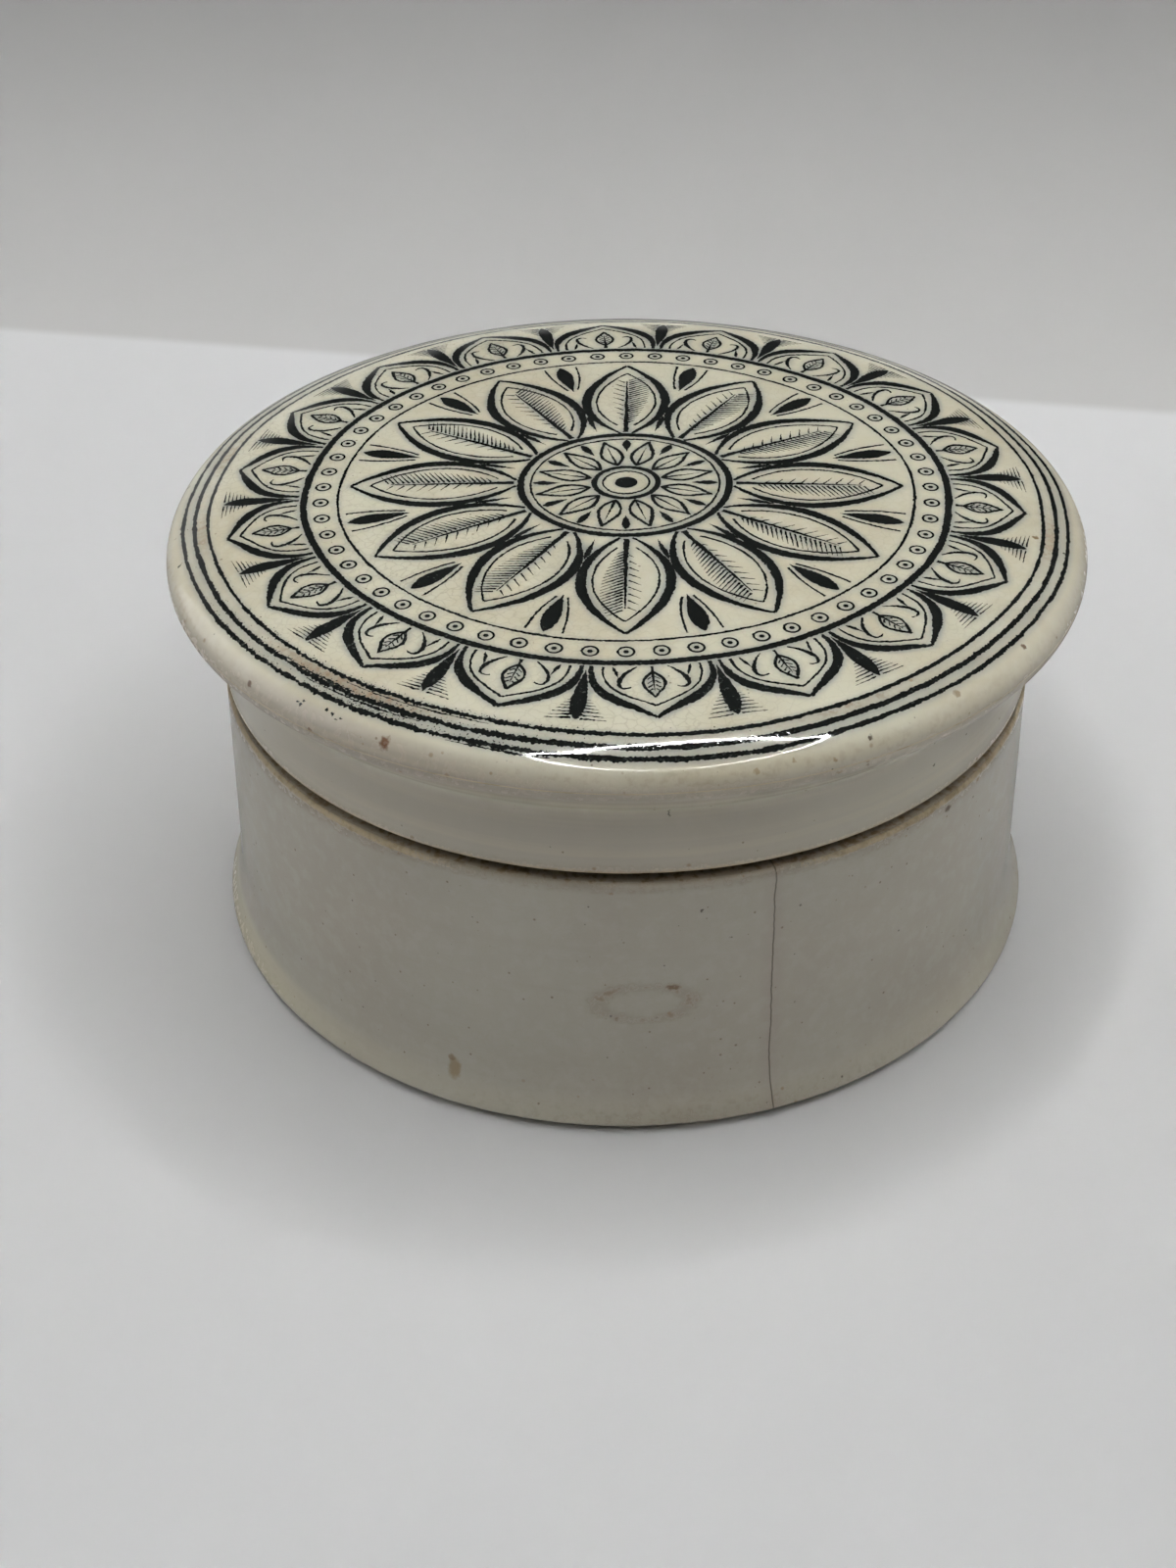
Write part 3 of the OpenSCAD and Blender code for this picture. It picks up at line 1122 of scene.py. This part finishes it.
@dataclass
class Engraver:
    """Turns strokes into ribbons of ink on the lid, with a transfer's ragged edges."""

    lid: Lid
    step: float = 0.14
    ragged: float = 0.036
    proud: float = 0.012
    sunk: float = 0.05
    thinnest: float = 0.012
    seed: int = 7
    smudges: tuple[tuple[float, float, float, float], ...] = (
        (-21.0, -29.0, 9.0, 1.1), (-6.0, -34.0, 7.0, 0.8))

    def __post_init__(self) -> None:
        """Start the one seeded source of chance."""
        self.chance = np.random.default_rng(self.seed)
        self.inked: list[Array] = []

    def wandering(self, path: Array) -> Array:
        """A path shifted slowly, as a sheet of print stretches.

        Two crossing waves run over the whole lid. Beyond a radius of 33 mm the sheet is
        also pulled outwards in front, by a bell round azimuth -81.

        Args:
            path: Rows of x and y.

        Returns:
            The shifted rows.
        """
        x, y = path.T
        a, r = np.degrees(np.arctan2(y, x)), np.hypot(x, y)
        pull = 0.56 * bell(a, -81, 15) * smooth(r, 33, 35.5) / np.maximum(r, 1)
        waves = np.stack([np.sin(x / 4.1 + 1.3) + np.sin(y / 2.7),
                          np.sin(y / 3.9 + 0.4) + np.sin(x / 3.1)], -1)
        return path * (1 + pull)[:, None] + 0.07 * waves

    def roughness(self, path: Array) -> Array:
        """How much worse than usual the transfer took at each point.

        The smudges lie on the outer rings, at the lid's front left. Each is given by its
        middle, its width and its strength: strength · exp(−distance² / (2 width²)).

        Args:
            path: Rows of x and y.

        Returns:
            A factor of 1 or more for each point.
        """
        x, y = path.T
        worse = sum(strength * np.exp(-((x - cx) ** 2 + (y - cy) ** 2) / (2 * w * w))
                    for cx, cy, w, strength in self.smudges)
        return 1 + smooth(np.hypot(x, y), 33, 35) * worse

    def pressed(self, path: Array) -> Array:
        """How much wider the lines came out: the outer rings up to 1.27 times, in front.

        Args:
            path: Rows of x and y.

        Returns:
            A factor of the width for each point.
        """
        x, y = path.T
        front = bell(np.degrees(np.arctan2(y, x)), -88, 38)
        return 1 + 0.27 * front * smooth(np.hypot(x, y), 33, 35)

    def uneven(self, count: int, closed: bool) -> Array:
        """Noise along an edge: grains one step long, plus drifts of eight steps.

        Args:
            count: Number of points along the edge.
            closed: Whether the line runs round to its own start.

        Returns:
            Noise of about unit size.
        """
        fine, slow = self.chance.standard_normal((2, count + 16))
        slow = np.convolve(slow, np.ones(9) / 3, "same")
        noise = (0.8 * fine + 0.6 * slow)[8:8 + count]
        if closed:
            fade = np.clip(np.arange(count) / 12, 0, 1)
            noise = noise * fade * fade[::-1]
        return noise

    def ribbon(self, stroke: Stroke) -> tuple[Array, Array, Array, Array]:
        """One stroke as a closed, thin ribbon that follows the lid's top.

        The path is cut into even steps. At each, five points go round the ribbon: edge,
        middle and edge just proud of the glaze, and both edges again, sunk in it. The
        edges lie half the width plus noise to either side of the path.

        Args:
            stroke: The engraved line.

        Returns:
            Points, their normals, and the sides and end caps, numbered from 0.
        """
        path = self.wandering(stroke.path)
        if stroke.closed:
            path = np.vstack([path, path[:1]])
        gone = np.concatenate([[0], np.cumsum(np.linalg.norm(np.diff(path, axis=0), axis=1))])
        count = max(4, int(np.ceil(gone[-1] / self.step)))
        t = np.linspace(0, 1, count + 1)
        if stroke.closed:
            t = t[:-1]
        line = np.stack([np.interp(t * gone[-1], gone, path[:, i]) for i in (0, 1)], -1)
        if stroke.closed:
            along = np.roll(line, -1, 0) - np.roll(line, 1, 0)
        else:
            along = np.gradient(line, axis=0)
        across = unit(np.stack([-along[:, 1], along[:, 0]], -1))
        wide = stroke.width * stroke.profile(t) / 2 * self.pressed(line)
        bad = self.roughness(line)
        tremble = self.ragged * bad * np.minimum(1, 0.45 + wide / 0.25)
        n = len(line)
        edges = [np.maximum(wide + tremble * self.uneven(n, stroke.closed),
                            self.thinnest)[:, None] for _ in (0, 1)]
        left, right = line + across * edges[0], line - across * edges[1]
        self.inked.append(np.column_stack([line, 2 * wide * gone[-1] / count]))
        flat = np.stack([left, (left + right) / 2, right, right, left], 1).reshape(-1, 2)
        lift = np.tile([self.proud] * 3 + [-self.sunk] * 2, n)
        here = np.arange(n)[:, None] * 5 + np.arange(5)
        caps = np.stack([here[0, ::-1], here[-1]])[:0 if stroke.closed else 2]
        ahead = np.roll(here, -1, 0)
        if not stroke.closed:
            here, ahead = here[:-1], ahead[:-1]
        sides = np.stack([here, np.roll(here, -1, 1), np.roll(ahead, -1, 1), ahead], -1)
        return (self.lid.on_top(flat, lift), self.lid.normals(flat), sides.reshape(-1, 4),
                caps)

    def lay(self, name: str, strokes: list[Stroke], ink: bpy.types.Material
            ) -> bpy.types.Object:
        """Lay a group of strokes as one piece that rides on the lid.

        Args:
            name: Name of the piece.
            strokes: Its strokes.
            ink: Material of the print.

        Returns:
            The piece.
        """
        ribbons = [self.ribbon(stroke) for stroke in strokes]
        points, normals, sides, caps = zip(*ribbons)
        first = np.cumsum([0] + [len(p) for p in points[:-1]])
        piece = put_mesh(name, np.vstack(points),
                         [np.vstack([f + k for f, k in zip(group, first)])
                          for group in (sides, caps)])
        # The glaze runs unbroken over the ink, so the ribbons shade as the lid does.
        piece.data.normals_split_custom_set_from_vertices(np.vstack(normals))
        piece.data.materials.append(ink)
        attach(piece, "lid")
        return piece

    def haze(self, cell: float = 0.2, blur: float = 0.36) -> Reshape:
        """Ink per area on a grid, blurred by a bell, for the glaze to read.

        Args:
            cell: Grid spacing in millimetres.
            blur: Half width of the bell in millimetres.

        Returns:
            Function from rows of x and y to the haze's strength.
        """
        half = 42.0
        count = int(2 * half / cell)
        ink = np.vstack(self.inked)
        edges = np.linspace(-half, half, count + 1)
        area, _, _ = np.histogram2d(ink[:, 0], ink[:, 1], bins=(edges, edges),
                                    weights=ink[:, 2])
        wave = np.fft.fftfreq(count, cell)
        spread = np.exp(-2 * (np.pi * blur) ** 2 * (wave[:, None] ** 2 + wave ** 2))
        field = np.real(np.fft.ifft2(np.fft.fft2(area / cell ** 2) * spread))

        def read(flat: Array) -> Array:
            """Mix the four cells round each place by nearness, then ease to 0 to 1.

            Args:
                flat: Rows of x and y.

            Returns:
                Strength of the haze for each row.
            """
            at = np.clip((flat + half) / cell - 0.5, 0, count - 1.001)
            low = at.astype(int)
            fx, fy = (at - low).T
            i, j = low.T
            mixed = ((field[i, j] * (1 - fx) + field[i + 1, j] * fx) * (1 - fy)
                     + (field[i, j + 1] * (1 - fx) + field[i + 1, j + 1] * fx) * fy)
            return smooth(mixed, 0.02, 0.62)

        return read


def circle(radius: float, centre: tuple[float, float] = (0.0, 0.0)) -> Array:
    """A full circle without its doubled last point."""
    return arc(centre, radius, 0, 360, max(16, int(radius * 40)))[:-1]


def straight(*ends: float) -> Array:
    """A line through points that are given as x, y, x, y."""
    return np.array(ends, float).reshape(-1, 2)


def leaf(length: float, half: float) -> Array:
    """Outline of a bud along +x: half width half · sin(π t^0.8)^1.25 at share t.

    Args:
        length: Distance from base to tip.
        half: Half of the greatest width.

    Returns:
        Closed outline, without the doubled last point.
    """
    t = np.linspace(0, 1, 50)
    w = half * np.sin(np.pi * t ** 0.8) ** 1.25
    return np.vstack([np.stack([t * length, w], -1),
                      np.stack([t * length, -w], -1)[::-1][1:-1]])


def turned_by(path: Array, degrees: float) -> Array:
    """A path turned about the middle of the lid."""
    a = np.radians(degrees)
    return path @ np.array([[np.cos(a), np.sin(a)], [-np.sin(a), np.cos(a)]])


def bent_round(path: Array, radius: float) -> Array:
    """A strip drawn along y with x outwards, bent round the lid.

    Angle = y / radius, distance = radius + x, so that lengths are true at that radius.
    """
    a, r = path[:, 1] / radius, radius + path[:, 0]
    return np.stack([r * np.cos(a), r * np.sin(a)], -1)


def ring_strokes(*rings: tuple[float, float],
                 centre: tuple[float, float] = (0.0, 0.0)) -> list[Stroke]:
    """Engraved circles round one centre, each given by its radius and its line's width."""
    return [Stroke(circle(r, centre), width, closed=True) for r, width in rings]


def turned_strokes(strokes: list[Stroke], degrees: float) -> list[Stroke]:
    """Copies of strokes, turned about the middle of the lid."""
    return [replace(s, path=turned_by(s.path, degrees)) for s in strokes]


# Factors that leave a path as it is, and that mirror it in the x axis.
BOTH_WAYS = (np.array([1, 1]), np.array([1, -1]))


@dataclass
class LidPrint:
    """The print: three plain rings, an arched border, a bead row and a petalled rosette."""

    engraver: Engraver
    ink: TransferInk = BLACK_INK
    rings: tuple[tuple[float, float], ...] = ((37.95, 0.32), (36.95, 0.38), (35.8, 0.3))
    crumbs: int = 460
    arches: int = 18
    bay_w: float = 10.9
    border_r: float = 31.3
    beads: int = 60
    bead_r: float = 26.3
    petals: int = 12

    def edge_rings(self) -> list[Stroke]:
        """Three rings inside the rim, and crumbs of ink where the transfer slipped.

        Returns:
            Their strokes.
        """
        strokes = ring_strokes(*self.rings)
        # Second, broken lines beside the rings, where the sheet slipped at front left.
        for start, stop, r, w in ((-131, -114, 37.3, 0.1), (-126, -106, 36.15, 0.09),
                                  (-110, -98, 38.26, 0.1), (-136, -124, 36.7, 0.09)):
            strokes.append(Stroke(arc((0, 0), r, start, stop, 60), w, Swell.MIDDLE))
        # Crumbs of ink just inside the rings, most of them round azimuth -120.
        chance, count = self.engraver.chance, self.crumbs
        angle = np.radians(chance.normal(-120, 16, count))
        ring = chance.choice([37.76, 36.74, 35.64], count)
        far = ring - np.abs(chance.normal(0, 0.17, count))
        for a, r, w, turn in zip(angle, far, chance.uniform(0.025, 0.075, count),
                                 chance.uniform(0, 6.3, count)):
            middle = np.array([r * np.cos(a), r * np.sin(a)])
            reach = np.array([np.cos(turn), np.sin(turn)]) * w * 0.7
            strokes.append(Stroke(np.stack([middle - reach, middle + reach]), w, Swell.DART))
        # Spatters outside the rings.
        for x, y, w in ((-24.5, -30.2, 0.2), (-24.75, -30.25, 0.12), (-22.6, -31.5, 0.2),
                        (-22.1, -31.9, 0.14), (-21.8, -32.4, 0.18), (-21.4, -32.5, 0.1),
                        (-25.0, -30.0, 0.12), (36.6, -9.0, 0.2)):
            strokes.append(Stroke(straight(x - 0.14, y + 0.07, x + 0.14, y - 0.07), w,
                                  Swell.DART))
        return strokes

    def arch(self) -> list[Stroke]:
        """One bay of the border, drawn with x outwards and y along the ring.

        Returns:
            Strokes in the strip's own flat coordinates.
        """
        side = bezier((-3.1, 5.05), (0.6, 5.0), (1.3, 2.6), (3.0, 0.0))
        inner = bezier((-3.0, 4.1), (0.0, 4.1), (0.6, 2.1), (1.95, 0.0))
        bud = leaf(3.3, 0.85) + np.array([-2.3, 0])
        strokes = [Stroke(bud, 0.26, closed=True),
                   Stroke(straight(-3.0, 0.0, 0.1, 0.0), 0.3, Swell.TAPER)]
        for way in BOTH_WAYS:
            strokes += [
                Stroke(side * way, 0.86, Swell.MIDDLE),
                Stroke(inner * way, 0.2),
                Stroke(bezier((-3.0, 1.3), (-1.6, 3.3), (0.3, 2.9), (-0.4, 1.75)) * way, 0.36,
                       Swell.MIDDLE),
                Stroke(bezier((-3.0, 3.3), (-2.4, 3.0), (-1.9, 2.9), (-1.5, 2.75)) * way, 0.3,
                       Swell.DART)]
            for k in range(4):
                x = -1.7 + 0.52 * k
                strokes.append(Stroke(straight(x, 0.12, x + 0.36, 0.5) * way, 0.12))
        # The dark dart between two bays, and the fine lines that shade it off.
        between = self.bay_w / 2
        strokes.append(Stroke(straight(3.3, between, -2.5, between), 1.25, Swell.DART))
        for k in range(7):
            x, reach = 3.25 - 0.34 * k, 0.62 + 0.38 * (7 - k) * 0.55
            for way in (1, -1):
                fine = straight(x, between + way * 0.3, x + 0.1, between + way * reach)
                strokes.append(Stroke(fine, 0.13, Swell.TAPER))
        return strokes

    def border(self) -> list[Stroke]:
        """The arched border, its base line, and the bead row inside it.

        Returns:
            Their strokes.
        """
        # A bay is drawn bay_w wide, and stretched to fill its share of the ring.
        size = np.array([1, 2 * np.pi * self.border_r / (self.arches * self.bay_w)])
        bay = [replace(s, path=bent_round(s.path * size, self.border_r))
               for s in self.arch()]
        strokes = ring_strokes((27.75, 0.62), (24.85, 0.24))
        for k in range(self.arches):
            strokes += turned_strokes(bay, 360 / self.arches * k - 6.1)
        for k in range(self.beads):
            a = np.radians(360 / self.beads * k)
            middle = (self.bead_r * np.cos(a), self.bead_r * np.sin(a))
            strokes += ring_strokes((0.62, 0.2), (0.12, 0.24), centre=middle)
        return strokes

    def petal(self) -> list[Stroke]:
        """One petal of the rosette along +x, with the dart that follows it.

        Returns:
            Strokes in the lid's own coordinates.
        """
        side = bezier((9.4, 0.5), (13.5, 4.9), (19.2, 4.6), (23.9, 0.0), steps=60)
        inner = bezier((11.0, 0.75), (14.2, 3.55), (18.7, 3.35), (22.2, 0.0), steps=50)
        strokes = [Stroke(straight(9.6, 0.0, 20.4, 0.0), 0.5, Swell.TAPER)]
        for way in BOTH_WAYS:
            strokes += [Stroke(side * way, 0.88, Swell.MIDDLE), Stroke(inner * way, 0.2)]
        # Shading: fine lines from the midrib outwards, close on one half, sparse on the other.
        for k in range(21):
            x = 11.6 + 0.45 * k
            reach = 2.05 * np.sin(np.pi * (x - 10.2) / 13.4) ** 0.8
            strokes.append(Stroke(straight(x, -0.2, x + 0.55 * reach, -reach), 0.2,
                                  Swell.TAPER))
        for k in range(9):
            x = 12.2 + 1.0 * k
            reach = 1.25 * np.sin(np.pi * (x - 10.2) / 13.4)
            strokes.append(Stroke(straight(x, 0.2, x + 0.6 * reach, reach), 0.16,
                                  Swell.TAPER))
        beside = bezier((24.2, 1.5), (22.4, 1.4), (20.8, 1.1), (19.2, 0.45))
        dart = [Stroke(straight(24.3, 0.0, 18.9, 0.0), 1.5, Swell.DART),
                *(Stroke(beside * way, 0.2) for way in BOTH_WAYS),
                Stroke(straight(13.3, 0.0, 10.0, 0.0), 0.5, Swell.DART)]
        return strokes + turned_strokes(dart, 180 / self.petals)

    def rosette(self) -> list[Stroke]:
        """The ring of petals and the small star in the middle.

        Returns:
            Their strokes.
        """
        strokes = ring_strokes((9.0, 0.62), (8.15, 0.2), (2.75, 0.5), (2.0, 0.2), (0.5, 0.95))
        petal = self.petal()
        bud = [Stroke(leaf(4.6, 0.9) + np.array([3.2, 0]), 0.3, closed=True),
               Stroke(straight(3.3, 0.0, 6.6, 0.0), 0.26, Swell.TAPER)]
        dart = [Stroke(straight(8.0, 0.0, 5.7, 0.0), 0.7, Swell.DART)]
        for k in range(self.petals):
            turn = 360 / self.petals * k
            for group, more in ((petal, 0), (bud, 180 / self.petals), (dart, 0)):
                strokes += turned_strokes(group, turn + more)
        return strokes

    def build(self) -> list[bpy.types.Object]:
        """Lay the whole print.

        Returns:
            Its pieces.
        """
        ink, lay = self.ink.material(), self.engraver.lay
        return [lay("print_edge_rings", self.edge_rings(), ink),
                lay("print_arched_border", self.border(), ink),
                lay("print_rosette", self.rosette(), ink)]


# ---------------------------------------------------------------- the studio

@dataclass
class Studio:
    """Pale floor, an oval ring lamp almost overhead, two dim panels, room and camera.

    The lamp's sizes are in millimetres. The camera's eye is in metres, and its tilt gives
    the turns about X, Y and Z in degrees.
    """

    floor_code: str = "#d8d8d8"
    bounce_light_code: str = "#ebebeb"
    back_code: str = "#d7d6d4"
    backdrop_code: str = "#d3d3d2"
    lamp_centre: tuple[float, float, float] = (72.0, -129.0, 530.0)
    lamp_half: tuple[float, float] = (187.0, 274.0)
    lamp_tube: float = 2.2
    lamp_strength: tuple[float, float] = (80.5, 188.0)
    room_code: str = "#eceef1"
    room_strength: float = 0.025
    side_power: tuple[float, float] = (0.62, 0.28)
    backdrop_shade_code: str = "#b4b3b1"
    lamp_code: str = "#fdfdfd"
    panel_code: str = "#f8f9fb"
    lens: float = 49.945
    eye: tuple[float, float, float] = (0.0, -0.166890, 0.130557)
    tilt: tuple[float, float, float] = (53.837986, 0.436909, 0.874910)

    def floor(self) -> None:
        """The floor: a flat grid, painted paler towards the paper's back edge as painted
        light, and darker far behind as painted shade.
        """
        count = 11
        line = np.linspace(-2500, 2500, count)
        x, y = np.meshgrid(line, line)
        points = np.stack([x, y, np.full_like(x, -0.02)], -1).reshape(-1, 3)
        here = np.arange(count * count).reshape(count, count)
        quads = np.stack([here[:-1, :-1], here[:-1, 1:], here[1:, 1:], here[1:, :-1]], -1)
        piece = put_mesh("floor", points, [quads.reshape(-1, 4)])
        made, shader = new_material("matt_white_paper")
        tree = made.node_tree
        mm = millimetres(tree)
        # The paper's back edge runs slightly askew, 100 to 120 mm behind the middle.
        back = add(tree, "VectorMath", {0: mm, 1: (0.163, 0.987, 0.0)},
                   operation="DOT_PRODUCT", out="Value")
        step = add(tree, "MapRange",
                   {"Value": back, "From Min": 104.2, "From Max": 107.2},
                   interpolation_type="SMOOTHSTEP")
        # Painted shade: far behind, the paper darkens towards the backdrop's shaded tone.
        fade = add(tree, "MapRange", {"Value": back, "From Min": 105.0, "From Max": 290.0})
        # Painted light: from the front to the back edge the paper grows paler, standing for
        # light thrown back onto it from behind.
        near = add(tree, "MapRange", {"Value": back, "From Min": -20.0, "From Max": 105.0})
        tone = add(tree, "Mix",
                   {0: near, 6: colour(self.floor_code), 7: colour(self.bounce_light_code)},
                   data_type="RGBA", out=2)
        tone = tinted(tree, tone, self.back_code, step)
        tone = tinted(tree, tone, self.backdrop_shade_code, fade, 0.6)
        connect(shader, {"Base Color": tone, "Roughness": 0.8, "Specular IOR Level": 0.2})
        # Far off, past what the lamp reaches, the camera and mirrored rays see a backdrop.
        away = add(tree, "VectorMath", {0: mm}, operation="LENGTH", out="Value")
        share = add(tree, "MapRange", {"Value": away, "From Min": 306.0, "From Max": 620.0})
        ray = add(tree, "LightPath").node.outputs
        sight = add(tree, "Math", {0: ray["Is Camera Ray"], 1: ray["Is Glossy Ray"]},
                    operation="MAXIMUM")
        seen = add(tree, "Math", {0: share, 1: sight}, operation="MULTIPLY")
        glow = add(tree, "Emission", {"Color": colour(self.backdrop_code)})
        both = add(tree, "MixShader", {0: seen, 1: shader.outputs[0], 2: glow})
        connect(tree.nodes["Material Output"], {"Surface": both})
        piece.data.materials.append(made)

    def lamp(self) -> None:
        """The ring lamp: a thin, level, oval tube of light.

        Point (u, v) = centre + ((a + t cos v) cos u, (b + t cos v) sin u, t sin v), where
        a and b are the oval's halves and t is the tube's radius.
        """
        turns, round_ = 64, 8
        u, v = np.meshgrid(np.arange(turns) * 2 * np.pi / turns,
                           np.arange(round_) * 2 * np.pi / round_, indexing="ij")
        reach = self.lamp_tube * np.cos(v)
        points = np.array(self.lamp_centre) + np.stack(
            [(self.lamp_half[0] + reach) * np.cos(u), (self.lamp_half[1] + reach) * np.sin(u),
             self.lamp_tube * np.sin(v)], -1)
        here = np.arange(turns * round_).reshape(turns, round_)
        ahead = np.roll(here, -1, 0)
        quads = np.stack([here, ahead, np.roll(ahead, -1, 1), np.roll(here, -1, 1)], -1)
        piece = put_mesh("ring_lamp", points.reshape(-1, 3), [quads.reshape(-1, 4)])
        made, shader = new_material("ring_lamp_light")
        tree = made.node_tree
        tree.nodes.remove(shader)
        # The far side of the ring is the brighter one, so that the front stays in shade.
        along_it = add(tree, "VectorMath",
                       {0: millimetres(tree), 1: (-0.26, 0.966, 0.0)}, out="Value",
                       operation="DOT_PRODUCT")
        power = add(tree, "MapRange",
                    {"Value": along_it, "From Min": -400.0,
                     "From Max": 120.0, "To Min": self.lamp_strength[0],
                     "To Max": self.lamp_strength[1]})
        glow = add(tree, "Emission", {"Color": colour(self.lamp_code), "Strength": power})
        connect(tree.nodes["Material Output"], {"Surface": glow})
        piece.data.materials.append(made)

    def sides(self) -> None:
        """Two dim upright panels, left and right, as the walls of a light tent."""
        for name, way, power in zip(("left_panel", "right_panel"), (-1, 1), self.side_power):
            data = bpy.data.lights.new(name, "AREA")
            data.shape, data.size, data.size_y = "RECTANGLE", 0.35, 0.5
            data.energy, data.color = power, colour(self.panel_code)[:3]
            panel = bpy.data.objects.new(name, data)
            panel.location = (0.42 * way, 0.05, 0.2)
            panel.rotation_euler = (0.0, np.pi / 2 * way, 0.0)
            bpy.context.scene.collection.objects.link(panel)

    def room(self) -> None:
        """Even light from the room, which fills the shaded sides.

        The camera sees it pale all round. Mirrored in the glaze it is pale near the horizon
        alone, higher up on the left, under a dark ceiling, so that the print stays black.
        """
        world = bpy.data.worlds.new("room")
        world.use_nodes = True
        tree = world.node_tree
        sky = tree.nodes["Background"]
        connect(sky, {"Color": colour(self.room_code), "Strength": self.room_strength})
        wall = add(tree, "Background", {"Color": colour(self.backdrop_code)})
        way = add(tree, "SeparateXYZ",
                  {0: add(tree, "TexCoord", out="Generated")}).node.outputs
        level = add(tree, "Math", {0: way["X"], 1: 0.55, 2: way["Z"]},
                    operation="MULTIPLY_ADD")
        low = add(tree, "MapRange", {"Value": level, "From Min": 0.12,
                                     "From Max": 0.3, "To Min": 0.6,
                                     "To Max": 0.0})
        ray = add(tree, "LightPath").node.outputs
        seen = add(tree, "Math", {0: low, 1: ray["Is Glossy Ray"],
                                  2: ray["Is Camera Ray"]},
                   operation="MULTIPLY_ADD")
        both = add(tree, "MixShader", {0: seen, 1: sky.outputs[0], 2: wall})
        connect(tree.nodes["World Output"], {"Surface": both})
        bpy.context.scene.world = world

    def camera(self) -> None:
        """The camera, where the photograph was taken from, with the same field."""
        data = bpy.data.cameras.new("camera")
        data.lens, data.sensor_width = self.lens, 36.0
        data.clip_start, data.clip_end = 0.01, 20.0
        camera = bpy.data.objects.new("camera", data)
        bpy.context.scene.collection.objects.link(camera)
        camera.location = self.eye
        camera.rotation_euler = np.radians(self.tilt)
        bpy.context.scene.camera = camera

    def build(self) -> None:
        """Set up floor, lights, camera and colour."""
        self.floor()
        self.lamp()
        self.sides()
        self.room()
        self.camera()
        bpy.context.scene.view_settings.view_transform = "Standard"


def report(piece: bpy.types.Object) -> None:
    """Log a piece's name, its triangles and its box in millimetres.

    Args:
        piece: The piece.
    """
    points = vertices(piece)
    faces = np.empty(len(piece.data.polygons), np.int32)
    piece.data.polygons.foreach_get("loop_total", faces)
    LOG.info("%s: %d triangles, %s to %s mm", piece.name, int((faces - 2).sum()),
             points.min(0).round(3), points.max(0).round(3))


def main() -> None:
    """Build the studio, the pot, the lid and its print, and report each piece."""
    logging.basicConfig(level=logging.INFO, format="%(name)s: %(message)s")
    Studio().build()
    report(Pot().build())
    lid = Lid()
    engraver = Engraver(lid)
    for piece in LidPrint(engraver).build():
        report(piece)
    report(lid.build(engraver.haze()))


if __name__ == "__main__":
    main()
